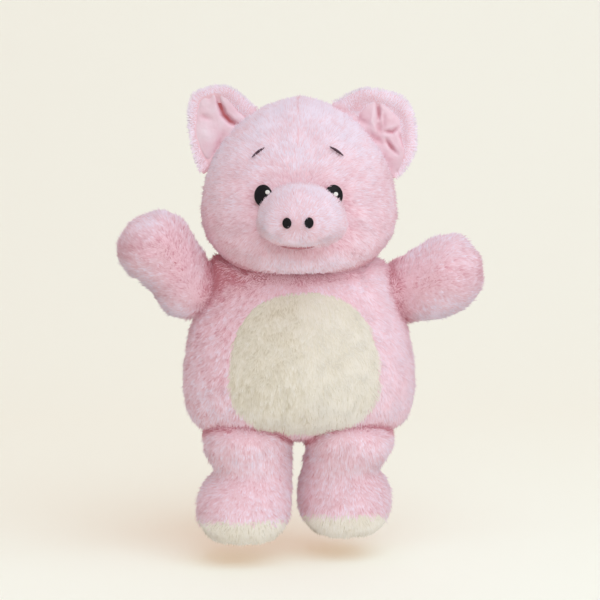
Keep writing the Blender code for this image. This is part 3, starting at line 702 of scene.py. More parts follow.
# %% Head measures
HEAD = [
    (184.0, 0.0, 0.0, 0.0), (188.0, 34.0, 34.0, 28.0), (195.5, 48.0, 50.5, 41.0),
    (204.5, 57.8, 59.5, 50.5), (216.5, 66.0, 64.5, 58.0), (231.0, 70.0, 66.3, 62.0),
    (247.0, 69.2, 64.5, 63.0), (264.0, 65.8, 60.5, 60.0), (281.0, 57.8, 52.5, 53.5),
    (297.0, 45.0, 41.0, 42.5), (310.5, 26.5, 25.0, 26.0), (318.5, 0.0, 0.0, 0.0),
]
HEAD_ROUND = 2.1
NECK_CUP = 105.3
SNOUT = [
    (44.0, 0.0, 0.0, 0.0, 3.2, 0.0), (48.0, 26.5, 19.0, 20.8, 3.2, 0.0),
    (56.0, 31.4, 22.9, 24.3, 3.0, 0.0), (62.5, 31.1, 21.3, 24.6, 2.6, 0.0),
    (69.5, 29.0, 19.0, 24.2, 1.9, 0.0), (76.5, 26.0, 17.5, 23.4, 1.1, 0.0),
    (84.0, 21.4, 15.2, 21.0, 0.4, 0.0), (89.5, 13.5, 9.2, 15.3, 0.0, 0.0), (92.8, 0.0, 0.0, 0.0, 0.0, 0.0),
]
SNOUT_SPREAD = 0.10     # how much wider it is below its middle, and narrower above
SNOUT_ROUND = 2.25
SNOUT_HEIGHT = 236.5
SNOUT_PILE = 2.6        # the snout's pile is trimmed shorter
HEAD_MATRIX = turn_z(HEAD_TURN)


def in_head(points):
    """Points drawn in the head's own frame, turned and moved to the toy."""
    return placed(points, HEAD_MATRIX, FLOOR_UNDER_NECK)


def head_surface(depth, rings, sides):
    """The head's skin at a depth inside its outline, hollowed by the neck's cup."""
    grid = inset(HEAD, depth, rings, sides, HEAD_ROUND)
    return onto_ball(grid, (0.0, 0.0, NECK[2]), NECK_CUP - 4.5 + 0.25 * depth, True,
                     lambda g: g[:, :, 2] < 225.0)


def snout_surface(depth, rings, sides):
    """The snout's skin: sections along its own axis, which then lies along -Y."""
    grid = inset(SNOUT, depth, rings, sides, SNOUT_ROUND)
    x = grid[:, :, 0] * (1.0 - SNOUT_SPREAD * np.clip(grid[:, :, 1] / 18.0, -1.0, 1.0))
    return np.stack([x, -grid[:, :, 2], grid[:, :, 1] + SNOUT_HEIGHT], axis=2)


head_skin = closed_skin(in_head(head_surface(PILE_DEPTH, 120, 180)))
head_cloth = add_piece("head_cloth", head_skin, pink_cloth)
head_filling = add_piece("head_filling", closed_skin(in_head(head_surface(WADDING_DEPTH, 40, 64))), wadding)
snout_skin = closed_skin(in_head(snout_surface(SNOUT_PILE, 60, 120)))
snout_cloth = add_piece("snout_cloth", snout_skin, pink_cloth)
snout_filling = add_piece("snout_filling", closed_skin(in_head(snout_surface(WADDING_DEPTH, 24, 40))),
                          wadding)
print("head cloth", len(head_skin[0]), "points")

# %% [markdown]
# ## Arms and legs
# An arm is a plain club, fuller towards the hand, and it points up and out from a ball-shaped
# root in the body. A leg is a short column with a round foot, whose cream sole is a panel of
# its own. The two feet are set down differently, one ahead of the other.

# %% Limb measures
ARM_BALL = 24.2
ARM_ROOT = [(-24.2, 0.0, 0.0), (-20.96, 12.1, 0.0), (-12.1, 20.96, 0.0), (0.0, 24.2, 0.0)]
ARM = {         # place along the arm, radius, shift upwards
    "right": ARM_ROOT + [(12.0, 24.0, 1.4), (24.0, 25.6, 1.2), (35.5, 27.7, 0.5), (46.0, 25.7, 0.3),
                         (54.6, 18.9, 0.0), (60.6, 0.0, 0.0)],
    "left": ARM_ROOT + [(12.0, 26.8, -1.2), (24.0, 28.2, -1.2), (35.0, 28.0, 0.0), (45.0, 25.0, 1.5),
                        (53.2, 18.0, 2.6), (59.2, 0.0, 3.0)],
}
ARM_POSE = {"right": (-1.0, 51.5, 6.0), "left": (1.0, 24.0, 24.0)}   # side, rise, forward
LEG = [
    (-0.5, 0.0, 0.0, 0.0, 1.0, 0.0), (0.3, 21.0, 23.5, 20.0, 1.0, 0.0),
    (6.0, 28.5, 31.5, 28.5, 0.9, 0.0), (15.0, 33.2, 37.0, 33.0, 0.9, 0.05),
    (28.0, 34.6, 37.3, 33.5, 0.8, 0.15), (40.0, 32.4, 33.8, 31.3, 0.6, 0.5),
    (50.0, 29.0, 30.5, 27.6, 0.3, 1.0), (58.0, 30.4, 34.8, 31.0, 0.1, 0.7),
    (66.0, 31.8, 39.0, 32.3, 0.0, 0.35), (74.0, 32.9, 42.0, 31.5, 0.0, 0.1),
    (82.15, 30.0, 39.5, 27.97, 0.0, 0.0), (91.0, 21.0, 25.0, 19.0, 0.0, 0.0),
    (98.3, 0.0, 0.0, 0.0, 0.0, 0.0),
]
THIGH_IN = 1.8          # how far the top of each leg sits inwards
LEG_ROUND = 2.15
LEG_POSE = {"right": ((-1.8, -5.0), 6.4), "left": ((-4.3, 13.0), -6.0)}   # foot shift, knee lean
SOLE_SEAM = 14.5
SOLE_TILT = 11.0
SOLE_PILE = 4.2


def arm_frame(side):
    """The matrix whose third column points along the arm."""
    sign, rise, forward = ARM_POSE[side]
    rise, forward = math.radians(rise), math.radians(forward)
    out = Vector((sign * math.cos(rise) * math.cos(forward), -math.cos(rise) * math.sin(forward),
                  math.sin(rise)))
    return np.array(out.to_track_quat("Z", "Y").to_matrix())


def arm_stations(side):
    """The arm's stations round its shoulder, as round sections."""
    return [(s, r, r, r, 0.0, up) for s, r, up in ARM[side]]


def arm_surface(side, depth, rings, sides):
    """One arm's skin round its shoulder."""
    return placed(inset(arm_stations(side), depth, rings, sides, 2.0), arm_frame(side),
                  joint_place[side + "_shoulder"])


def leg_stations(side):
    """The leg's stations with its foot and knee shifted, round the hip."""
    (shift_x, shift_y), knee = LEG_POSE[side]
    thigh = THIGH_IN if side == "right" else -THIGH_IN
    return [(z, w, f, b, shift_x * s + knee * k + thigh * float(z > 70.0), shift_y * s)
            for z, w, f, b, s, k in LEG]


def leg_surface(side, depth, rings, sides):
    """One leg's skin under its hip, flat underneath where the toy stands."""
    grid = inset(leg_stations(side), depth, rings, sides, LEG_ROUND)
    grid[:, :, 2] = np.maximum(grid[:, :, 2], depth)
    return grid + joint_place[side + "_hip"] * (1.0, 1.0, 0.0)


# %% Limb cloth
limbs = {}
for side in SIDES:
    for part, surface, rings in (("arm", arm_surface, 70), ("leg", leg_surface, 90)):
        skin = closed_skin(surface(side, PILE_DEPTH, rings, 110))
        name = f"{side}_{part}"
        made = add_piece(name + "_cloth", skin, pink_cloth)
        filling = add_piece(name + "_filling", closed_skin(surface(side, WADDING_DEPTH, 28, 40)), wadding)
        limbs[name] = (skin, made, filling)
print("limbs", list(limbs))

# %% Gaps to each form
def head_space(points):
    """Toy points in the head's own frame."""
    return placed(points - FLOOR_UNDER_NECK, HEAD_MATRIX.T, (0.0, 0.0, 0.0))


def gap_to_body(points):
    return form_gap(points - FLOOR_UNDER_NECK, BODY_SOFT, BODY_ROUND)


def gap_to_head(points):
    return form_gap(head_space(points), HEAD, HEAD_ROUND)


def gap_to_snout(points):
    local = head_space(points)
    view = np.stack([local[:, 0], local[:, 2] - SNOUT_HEIGHT, -local[:, 1]], axis=1)
    return form_gap(view, SNOUT, SNOUT_ROUND)


def gap_to_arm(points, side):
    local = placed(points - joint_place[side + "_shoulder"], arm_frame(side).T, (0.0, 0.0, 0.0))
    return form_gap(local, arm_stations(side), 2.0)


def gap_to_leg(points, side):
    return form_gap(points - joint_place[side + "_hip"] * (1.0, 1.0, 0.0), leg_stations(side), LEG_ROUND)


print("gap from shoulder to head", [float(gap_to_head(joint_place[side + "_shoulder"][None])[0].round(1))
                                    for side in SIDES])

# %% [markdown]
# ## Combing the pile
# Plush is cut so that its nap runs down the body and back over the head, and it is brushed
# afterwards, so the direction wanders. Each panel gets its own direction here.

# %% Pile on the body
rng = np.random.default_rng(11)
roots, normals = scatter(*body_skin, SPACING, rng)
local = roots - FLOOR_UNDER_NECK
height = local[:, 2]
gaps = [gap_to_arm(roots, side) for side in SIDES] + [gap_to_leg(roots, side) for side in SIDES]
hidden = (np.min(gaps, axis=0) < -2.5) | ((height > 202.0) & (np.abs(local[:, 0]) < 45.0))
to_left = np.clip(local[:, 0] / 60.0, -1.0, 1.0)
nook = nook_of(gap_to_head(roots), reach=9.0) * (0.8 - 0.5 * to_left) + 0.55 * nook_of(*gaps)
nook += np.clip(-1.6 * to_left - 0.4, 0.0, 1.0) * rising(height, 174.0, 16.0)       # painted shade on the right shoulder, under the head
nook += np.clip(-to_left, 0.0, 1.0) * (0.25 - 0.3 * rising(height, 140.0, -50.0))   # and painted shade on the side under it
edge = belly_share(local[:, 0], height) + 0.01 * waves(roots, 8.0, 5)[0]
on_belly = (local[:, 1] < 0.0) & (edge < 1.0)
QUARTERS = {"front_right": (-1.6, 0.0), "front_left": (0.0, 1.6), "back_left": (1.6, math.pi),
            "back_right": (math.pi, 2.0 * math.pi - 1.6)}


def in_quarter(points, name):
    """True for points whose bearing from straight ahead lies in one quarter of the toy."""
    low, high = QUARTERS[name]
    bearing = np.arctan2(points[:, 0], -points[:, 1])
    return np.mod(bearing - low, 2.0 * math.pi) < high - low


body_piles = []
for number, name in enumerate(QUARTERS):
    chosen = in_quarter(local, name) & ~hidden & ~on_belly
    at, up = roots[chosen], normals[chosen]
    outward = (at - NECK) * (1.0, 1.0, 0.0)
    body_piles.append(make_pile(f"body_pile_{name}", at, up, DOWN + 0.2 * unit(outward), 5.0, pink_pile,
                                20 + number, nook[chosen], ruffle=0.16 - 0.08 * to_left[chosen]))

# %% [markdown]
# The cream patch is sewn into the front. Its pile is a little longer and stands over the pink at the edge.
# It is sewn from two halves, and one half is given painted shade.

# %% Belly
BELLY_LIFT = 0.5
angle = np.linspace(0.0, 2.0 * np.pi, 120, endpoint=False)
ring = np.linspace(0.0, 1.0, 40)[:, None]
height, half, rise, drop = BELLY
flat_x = BELLY_SHIFT + ring * half * signed_power(np.cos(angle), 2.0 / BELLY_ROUND)
flat_z = signed_power(np.sin(angle), 2.0 / BELLY_ROUND)
flat_z = height + ring * flat_z * np.where(flat_z > 0.0, rise, drop)


def front_of(x, z, lift):
    """Depth of the body's cloth at a place in front: the superellipse solved for y."""
    rows = curve_through(BODY_SOFT, 200)
    width, front = (np.interp(z, rows[:, 0], rows[:, k]) - PILE_DEPTH + lift for k in (1, 2))
    inner = np.clip(1.0 - np.abs(x / width) ** BODY_ROUND, 0.0, 1.0)
    return -front * inner ** (1.0 / BODY_ROUND)


def patch_shell(x, z, lift):
    """A closed thin shell over the belly: a front face, and a back face a little deeper."""
    front = np.stack([x, front_of(x, z, lift), z], axis=2)
    back = np.stack([x, front_of(x, z, -lift), z], axis=2)
    grid = np.concatenate([front, back[::-1]])
    return closed_skin(in_toy(grid[:, ::-1]))


belly_cloth = add_piece("belly_cloth", patch_shell(flat_x, flat_z, BELLY_LIFT), cream_cloth)
at, up = roots[on_belly], normals[on_belly]
middle = at[:, 0] - NECK[0]
halves = -2.0 + 14.0 * rising(at[:, 2], 108.0, -25.0)
painted_half_shade = 0.5 - 0.5 * np.tanh((middle - halves) / 3.0)   # painted shade over its right half
# painted shade over the right half, and painted light that makes the lower belly paler
belly_pile = make_pile("belly_pile", at, up, 0.0 * at + DOWN, 5.6, cream_pile, 31,
                       nook[on_belly] + 0.3 * painted_half_shade - 0.6 * rising(at[:, 2], 112.0, -25.0),
                       ruffle=0.05 + 0.2 * painted_half_shade)

# %% Pile on the head
EYE = (6.4, 7.6)
EYE_PLACE = {"right": (-23.6, 251.6), "left": (24.9, 251.6)}
NOSTRIL = (3.1, 3.8)
NOSTRIL_PLACE = {"right": (-6.6, 235.4), "left": (8.4, 235.6)}


def under_stitch(points, places, size, margin):
    """True for points of the face behind a stitched oval."""
    found = np.zeros(len(points), dtype=bool)
    for x, z in places.values():
        found |= np.hypot((points[:, 0] - x) / size[0], (points[:, 2] - z) / size[1]) < margin
    return found & (points[:, 1] < 0.0)


rng = np.random.default_rng(12)
roots, normals = scatter(*head_skin, SPACING, rng)
local = head_space(roots)
in_cup = (np.linalg.norm(local - (0.0, 0.0, NECK[2]), axis=1) < NECK_CUP + 1.0) & (normals[:, 2] < -0.5)
in_cup &= np.hypot(local[:, 0], local[:, 1]) < 38.0
snout_gap = gap_to_snout(roots)
x, height = local[:, 0], local[:, 2]
shown = ~in_cup & (snout_gap > -3.0) & ~under_stitch(local, EYE_PLACE, EYE, 1.0)
nook = 0.6 * nook_of(gap_to_body(roots)) + 0.25 * nook_of(snout_gap)
nook += 0.25 * rising(-x, 15.0, 40.0) * rising(height, 262.0, -30.0)    # painted shade on the right cheek
nook -= 0.25 * rising(height, 214.0, -8.0) * np.exp(-(x / 30.0) ** 2)   # painted light makes the chin paler
nook -= 0.3 * rising(height, 262.0, 36.0)                               # and painted light makes the top paler
# painted shade on the lower left of the head
nook += 0.18 * np.clip(x / 50.0, 0.0, 1.0) * rising(height, 290.0, -30.0)
nook += 0.25 * np.exp(-(x / 1.1) ** 2) * rising(height, 300.0, 10.0)    # the seam over the forehead
head_piles = []
for number, name in enumerate(QUARTERS):
    chosen = shown & in_quarter(local, name)
    at, up = roots[chosen], normals[chosen]
    comb = unit(local[chosen] - (0.0, -70.0, 240.0)) * 0.8 + DOWN * 0.35
    trimmed = 4.8 * (1.0 - 0.45 * np.clip(-1.6 * up[:, 2:] - 0.3, 0.0, 1.0))
    head_piles.append(make_pile(f"head_pile_{name}", at, up, comb @ HEAD_MATRIX.T, trimmed, pink_pile,
                                40 + number, nook[chosen]))

# %% Pile on the snout
rng = np.random.default_rng(13)
roots, normals = scatter(*snout_skin, 0.5, rng)
local = head_space(roots)
chosen = (gap_to_head(roots) > -PILE_DEPTH) & ~under_stitch(local, NOSTRIL_PLACE, NOSTRIL, 1.05)
at, up = roots[chosen], normals[chosen]
comb = (local[chosen] - (0.0, -98.0, 224.0)) / 16.0 + (0.0, 0.6, 0.0)
# painted shade near the head, and painted light that makes the rest paler
snout_pile = make_pile("snout_pile", at, up, comb @ HEAD_MATRIX.T, 3.4, pink_pile, 50,
                       0.3 * nook_of(gap_to_head(at)) - 0.2, width=0.5, tuft=0.15, tuft_size=4.0)

# %% [markdown]
# The limbs are combed towards their ends, and their pile starts a little inside the body, so
# that none of it is missing when they move. The foot's cream sole starts at a slanting seam,
# higher at the toe, and its pile is shorter.

# %% Pile on the limbs
def above_sole(points, side):
    """Height over the sole's slanting seam."""
    (shift_x, shift_y), knee = LEG_POSE[side]
    forward = -(points[:, 1] - joint_place[side + "_hip"][1] - shift_y)
    return points[:, 2] - SOLE_SEAM - forward * math.tan(math.radians(SOLE_TILT))


limb_piles = {}
for number, side in enumerate(SIDES):
    rng = np.random.default_rng(14 + number)
    roots, normals = scatter(*limbs[side + "_arm"][0], SPACING, rng)
    chosen = gap_to_body(roots) > -3.0 - PILE_DEPTH
    at, up = roots[chosen], normals[chosen]
    comb = 0.0 * at + arm_frame(side)[:, 2] + 0.25 * DOWN
    # painted shade along the arm's sides, and painted light on its top and underside
    painted_arm_shade = 0.5 - 0.65 * np.abs(up[:, 2]) - 0.3 * np.clip(-up[:, 2], 0.0, 1.0)
    limb_piles[side + "_arm"] = make_pile(f"{side}_arm_pile", at, up, comb, 5.0, pink_pile, 60 + number,
                                          nook_of(gap_to_body(at), gap_to_head(at)) + painted_arm_shade, ruffle=0.2)
    roots, normals = scatter(*limbs[side + "_leg"][0], SPACING, rng)
    lift = above_sole(roots, side) + 0.8 * waves(roots, 9.0, 7)[0]
    lift += 1.2 * rng.normal(size=len(roots))      # the two colours mix a little at the seam
    other = SIDES[1 - number]
    nook = nook_of(gap_to_body(roots), gap_to_leg(roots, other), reach=4.0)
    chosen = (gap_to_body(roots) > -5.0 - PILE_DEPTH) & (lift > 0.0)
    at, up = roots[chosen], normals[chosen]
    limb_piles[side + "_leg"] = make_pile(f"{side}_leg_pile", at, up, 0.0 * at + DOWN, 5.0, pink_pile,
                                          70 + number, nook[chosen] + 0.05, ruffle=0.2)
    chosen = lift <= 0.0
    at, up = roots[chosen], normals[chosen]
    # painted light makes the sole's pile a little paler
    limb_piles[side + "_sole"] = make_pile(f"{side}_sole_pile", at, up, 0.0 * at + DOWN + (0.0, 0.5, 0.0),
                                           4.4, cream_pile, 80 + number, 0.0 * nook[chosen] - 0.05,
                                           lean=0.9, tuft=0.15, sky=(0.0, -0.6, 1.0))

# %% [markdown]
# ## Soles
# The sole is a cream cup under each foot. It is the same surface as the foot, a hair further
# out, so it is cut from the leg's own grid below the slanting seam.

# %% Soles
soles = {}
for side in SIDES:
    outer = leg_surface(side, PILE_DEPTH - 0.5, 90, 110)
    inner = leg_surface(side, PILE_DEPTH + 0.3, 90, 110)
    lift = above_sole(outer.reshape(-1, 3), side).reshape(90, 110)
    rows = int(np.argmax(lift.min(axis=1) > 0.0))
    limit = outer[:rows].copy()
    over = np.maximum(above_sole(limit.reshape(-1, 3), side).reshape(rows, 110), 0.0)
    limit[:, :, 2] -= over
    inside = inner[:rows].copy()
    over = np.maximum(above_sole(inside.reshape(-1, 3), side).reshape(rows, 110), 0.0)
    inside[:, :, 2] -= over
    grid = np.concatenate([limit, inside[::-1]])
    soles[side] = add_piece(f"{side}_sole_cloth", closed_skin(grid), cream_cloth)
print("soles", list(soles))

# %% [markdown]
# ## Ears
# Each ear is a leaf with a plush back that rolls over its rim, and a satin lining in front.
# Sewn in folded, the lining is drawn into creases, which are given painted shade, dark red in the deepest.
# In the ear's own frame X runs along the sewn edge, Z points out from the head and -Y faces forward.

# %% Ear shapes
EAR_OUTLINE = {
    "right": [(-29.0, -6.0), (-30.0, 2.0), (-30.8, 12.0), (-28.4, 24.5), (-18.6, 33.6), (-8.5, 38.8),
              (1.5, 35.2), (11.0, 27.0), (20.5, 16.0), (28.0, 6.0), (31.5, -1.0), (32.0, -6.0),
              (14.0, -7.0), (-14.0, -7.0)],
    "left": [(-37.0, -6.0), (-36.5, 2.0), (-35.0, 10.5), (-31.0, 21.2), (-20.0, 31.0), (-8.3, 38.2),
             (2.5, 37.6), (10.0, 34.4), (18.0, 29.2), (27.0, 21.0), (32.5, 11.0), (34.5, 0.0), (33.0, -7.0),
             (15.0, -7.0), (-15.0, -7.0)],
}
LINING_OUTLINE = {
    "right": [(-19.5, -5.5), (-20.4, 7.0), (-22.2, 17.0), (-20.6, 26.5), (-15.0, 30.5), (-9.0, 32.8),
              (-2.0, 31.0), (5.0, 25.8), (13.5, 19.0), (18.5, 11.5), (22.8, 4.0), (23.0, -5.5),
              (9.5, -5.5), (-7.0, -5.5)],
    "left": [(-15.5, -5.5), (-16.4, 2.4), (-19.7, 6.4), (-20.2, 11.0), (-19.9, 16.8), (-17.3, 21.9),
             (-10.1, 24.9), (-3.6, 25.4), (2.2, 26.0), (7.7, 22.8), (13.3, 19.3), (20.4, 16.2),
             (26.0, 12.1), (29.3, 6.8), (31.2, 0.4), (29.0, -5.5), (8.0, -5.5)],
}
EAR_LEAN = {"right": -49.0, "left": 49.5}
EAR_BACK = 2.6          # mm, how far the back swells
EAR_ROLL = 2.2          # and the rim in front
EAR_FRONT = 3.0         # and the lining
EAR_CUP = 8.0
# Creases of the lining: points of a line, depth and half width, in mm; a ridge has depth below 0. The depth
# also paints shade into the satin, and a ridge paints a highlight
EAR_CREASES = {
    "right": [([(-20.2, 27.0), (-15.4, 21.2), (-12.8, 16.5)], 6.0, 1.2),
              ([(-14.3, 19.0), (-10.8, 12.4), (-10.0, 6.2), (-11.3, 0.6)], 7.5, 2.1),
              ([(-22.3, 16.8), (-20.2, 6.5), (-19.3, -1.6)], 1.6, 1.2),
              ([(1.0, 24.6), (-2.6, 16.2)], 1.6, 2.2), ([(-3.0, 30.5), (-1.6, 28.7)], 1.2, 2.6),
              ([(-14.7, 29.8), (-12.2, 27.0)], 1.4, 1.8),
              ([(0.3, 4.0), (10.7, -0.2), (21.0, -2.5)], 2.4, 2.6),
              ([(19.0, 10.8), (22.2, 3.8), (21.9, -1.5)], 1.4, 1.2),
              ([(6.2, 15.8), (11.0, 9.2)], -1.2, 4.0)],
    "left": [([(-16.0, 21.3), (-11.3, 18.3), (-7.3, 15.1)], 4.5, 1.6),
             ([(-6.0, 13.7), (1.0, 9.2)], 2.0, 2.4),
             ([(-14.2, 15.6), (-8.2, 9.8), (-3.1, 7.3)], -1.6, 2.2),
             ([(-17.8, 7.8), (-15.5, 4.1), (-10.8, 5.4)], 1.8, 2.4),
             ([(2.9, 12.5), (6.5, 16.0), (6.9, 21.1)], 3.4, 1.6),
             ([(10.0, 19.0), (14.7, 18.1), (19.1, 16.1)], 2.6, 1.3),
             ([(-3.3, 2.0), (3.1, 4.5), (7.8, 6.5)], 2.2, 2.8),
             ([(7.9, 9.4), (13.2, 8.5), (20.0, 8.7)], 3.4, 1.5),
             ([(-8.8, 21.2), (-0.6, 14.5)], 1.2, 1.4), ([(22.1, -1.0), (27.2, -2.9)], 0.8, 2.8)],
}
LINING_SHADE = {"right": 0.0, "left": 0.1}     # painted shade, deeper all over the left lining, which is crumpled more


def closed_curve(points, steps=8):
    """Catmull-Rom curve through a closed list of points."""
    table = np.array(points, dtype=float)
    return between(*(np.roll(table, 1 - k, axis=0)[:, None, :] for k in range(4)), steps).reshape(-1, 2)


def reach_share(x, z, rim):
    """How far out towards a rim each place is, seen from its middle: 0 there and 1 on the rim."""
    centre = rim.mean(axis=0)
    bearings = np.arctan2(rim[:, 1] - centre[1], rim[:, 0] - centre[0])
    order = np.argsort(bearings)
    reach = np.interp(np.arctan2(z - centre[1], x - centre[0]), bearings[order],
                      np.hypot(*(rim - centre).T)[order], period=2.0 * np.pi)
    return np.hypot(x - centre[0], z - centre[1]) / reach


def ear_matrix(side):
    """The ear's frame: leaned about Y, then turned with the head."""
    return HEAD_MATRIX @ np.array(Matrix.Rotation(math.radians(EAR_LEAN[side]), 3, "Y"))


def ear_curl(along, out):
    """How far forward the ear curls: more towards its sides, and none at its root."""
    return EAR_CUP * (along / 32.0) ** 2 * np.clip(out / 22.0, 0.0, 1.0)


def crease_depth(side, x, z):
    """Sum of valleys: depth times exp(-(distance to a line / half width)^2), shallower at its ends."""
    total = np.zeros_like(x)
    for line, depth, half_width in EAR_CREASES[side]:
        line = np.array(line)
        nearest = np.full(x.shape, np.inf)
        place = np.zeros_like(x)
        for k, (start, end) in enumerate(zip(line[:-1], line[1:])):
            span = end - start
            share = np.clip(((x - start[0]) * span[0] + (z - start[1]) * span[1]) / (span @ span), 0.0, 1.0)
            away = np.hypot(x - start[0] - share * span[0], z - start[1] - share * span[1])
            place = np.where(away < nearest, (k + share) / (len(line) - 1), place)
            nearest = np.minimum(nearest, away)
        taper = np.sin(np.pi * (0.15 + 0.7 * place))
        total += depth * taper * np.exp(-(nearest / half_width) ** 2)
    return total


def leaf(outline, scale, rings):
    """Places x, z of a leaf from its middle to its outline, and their share of the way out."""
    centre = outline.mean(axis=0)
    share = np.sin(np.linspace(0.0, 0.5 * np.pi, rings))[:, None]
    x = centre[0] + scale * share * (outline[:, 0] - centre[0])
    z = centre[1] + scale * share * (outline[:, 1] - centre[1])
    return x, z, share + 0.0 * x


def two_faced(x, z, front, back, clockwise):
    """A closed skin from a front and a back face over the same places."""
    grid = np.concatenate([np.stack([x, front, z], axis=2), np.stack([x, back, z], axis=2)[::-1]])
    return grid[:, ::-1] if clockwise else grid


def dome(share):
    """sqrt(1 - share^2), the swell of a stuffed pad."""
    return np.sqrt(np.clip(1.0 - share ** 2, 0.0, 1.0))


# %% Ear cloth and lining
ears = {}
ear_rims = {}
for side, sign in SIGN.items():
    place = joint_place[side + "_ear_bend"]
    rim = closed_curve([(sign * b, n) for b, n in EAR_OUTLINE[side]])
    lining_rim = closed_curve([(sign * b, n) for b, n in LINING_OUTLINE[side]])
    ear_rims[side] = rim, lining_rim
    x, z, share = leaf(rim, 0.94, 32)
    roll = EAR_ROLL * np.exp(-((share - 0.82) / 0.20) ** 2) * dome(share ** 4)
    curl = ear_curl(x, z)
    plush = closed_skin(placed(two_faced(x, z, -0.3 * dome(share) - roll - curl,
                                         EAR_BACK * dome(share) - curl, sign < 0.0),
                               ear_matrix(side), place))
    ears[side + "_plush"] = plush, add_piece(f"{side}_ear_cloth", plush, pink_cloth)
    x, z, share = leaf(lining_rim, 1.0, 64)
    curl = ear_curl(x, z)
    crease = crease_depth(side, sign * x, z) * np.clip((1.0 - share) / 0.06, 0.0, 1.0)
    bed = -0.35 * dome(share) - 0.3 - curl
    satin_front = np.minimum(-EAR_FRONT * dome(share ** 1.5) - 0.6 - curl + 0.7 * crease, bed - 0.15)
    grid = two_faced(x, z, satin_front, bed, sign < 0.0)
    # the creases' depth becomes painted shade in the satin's colour, and ridges painted highlight
    fold = np.concatenate([crease, 0.0 * crease])
    fold = fold[:, ::-1] if sign < 0.0 else fold
    mesh = write_mesh(f"{side}_ear_lining", *closed_skin(placed(grid, ear_matrix(side), place)))
    values = np.concatenate([[fold[0, 0]], fold[1:-1].ravel(), [fold[-1, 0]]]) / 8.0 + LINING_SHADE[side]
    mesh.attributes.new("fold", "FLOAT", "POINT").data.foreach_set("value", values.astype(np.float32))
    ears[side + "_lining"] = new_object(f"{side}_ear_satin", mesh, satin)
print("creases", {side: len(lines) for side, lines in EAR_CREASES.items()})

# %% Pile on the ears
for number, side in enumerate(SIDES):
    rng = np.random.default_rng(16 + number)
    roots, normals = scatter(*ears[side + "_plush"][0], 0.4, rng)
    frame_of_ear = ear_matrix(side)
    local = placed(roots - joint_place[side + "_ear_bend"], frame_of_ear.T, (0.0, 0.0, 0.0))
    turned = placed(normals, frame_of_ear.T, (0.0, 0.0, 0.0))[:, 1:2]
    rim, lining_rim = ear_rims[side]
    on_rim = reach_share(local[:, 0], local[:, 2], lining_rim) > 0.92
    shown = ((turned[:, 0] > 0.0) | on_rim) & (local[:, 2] > -3.0)
    at, up = roots[shown], normals[shown]
    forward = np.clip(0.8 - turned[shown], 0.0, 1.0)
    middle = np.array([[rim[:, 0].mean(), 0.0, rim[:, 1].mean()]])
    outward = unit(at - placed(middle, frame_of_ear, joint_place[side + "_ear_bend"]))
    # painted shade near the head, and painted light that makes the rest of the pile paler
    limb_piles[side + "_ear"] = make_pile(
        f"{side}_ear_pile", at, up, outward + 0.5 * frame_of_ear[:, 2], 2.7, pink_pile, 90 + number,
        0.5 * nook_of(gap_to_head(at)) - 0.5, width=0.42, lean=0.85, tuft=0.06, ruffle=0.04,
        sky=SKYWARD + forward * (0.0, -1.2, 0.7))

# %% [markdown]
# ## The face
# Eyes, nostrils, brows and mouth are embroidered: satin stitch laid side by side over the
# cloth, so each has a domed top ribbed by its threads. Each is a small closed lens whose
# front follows the skin beneath it.

# %% Stitched ovals
def head_front(x, z, lift):
    """Depth of the head's outline plus a lift, in front, at a place of the face."""
    rows = curve_through(HEAD, 200)
    width, front = (np.interp(z, rows[:, 0], rows[:, k]) + lift for k in (1, 2))
    inner = np.clip(1.0 - np.abs(x / width) ** HEAD_ROUND, 0.0, 1.0)
    return -front * inner ** (1.0 / HEAD_ROUND)


def snout_front(x, z, lift):
    """Depth of the snout's outline plus a lift: its stations solved for the reach."""
    rows = curve_through(SNOUT, 400)
    rows = rows[rows[:, 0] > 57.0]
    reach = np.full(np.shape(x), rows[0, 0])
    tall = np.where(z < SNOUT_HEIGHT, rows[:, 2, None, None], rows[:, 3, None, None]) + lift
    share = np.abs((x - rows[:, 4, None, None]) / (rows[:, 1, None, None] + lift)) ** SNOUT_ROUND
    share = share + np.abs((z - SNOUT_HEIGHT) / tall) ** SNOUT_ROUND
    inside = share < 1.0
    last = len(rows) - 1 - np.argmax(inside[::-1], axis=0)
    reach = rows[last, 0] + lift
    return -reach


def stitched_oval(name, centre, half_wide, half_tall, front, lift, dome, pitch, slant, material):
    """A lens over the face: dome * sqrt(1 - r^2), ribbed every pitch mm by threads at a slant."""
    turn = np.linspace(0.0, 2.0 * np.pi, 72, endpoint=False)
    share = np.sin(np.linspace(0.0, 0.5 * np.pi, 26))[:, None]
    x = centre[0] + half_wide * share * np.cos(turn)
    z = centre[1] + half_tall * share * np.sin(turn)
    across = (x - centre[0]) * math.sin(math.radians(slant)) + (z - centre[1]) * math.cos(
        math.radians(slant))
    rib = np.abs(np.sin(np.pi * across / pitch)) * 0.12
    swell = (dome + rib) * np.sqrt(np.clip(1.0 - share ** 4, 0.0, 1.0))
    top = np.stack([x, front(x, z, lift) - swell, z], axis=2)
    bed = np.stack([x, front(x, z, lift) + 0.6 * np.sqrt(np.clip(1.0 - share ** 2, 0.0, 1.0)), z], axis=2)
    grid = np.concatenate([top, bed[::-1]])[:, ::-1]
    return add_piece(name, closed_skin(in_head(grid)), material)


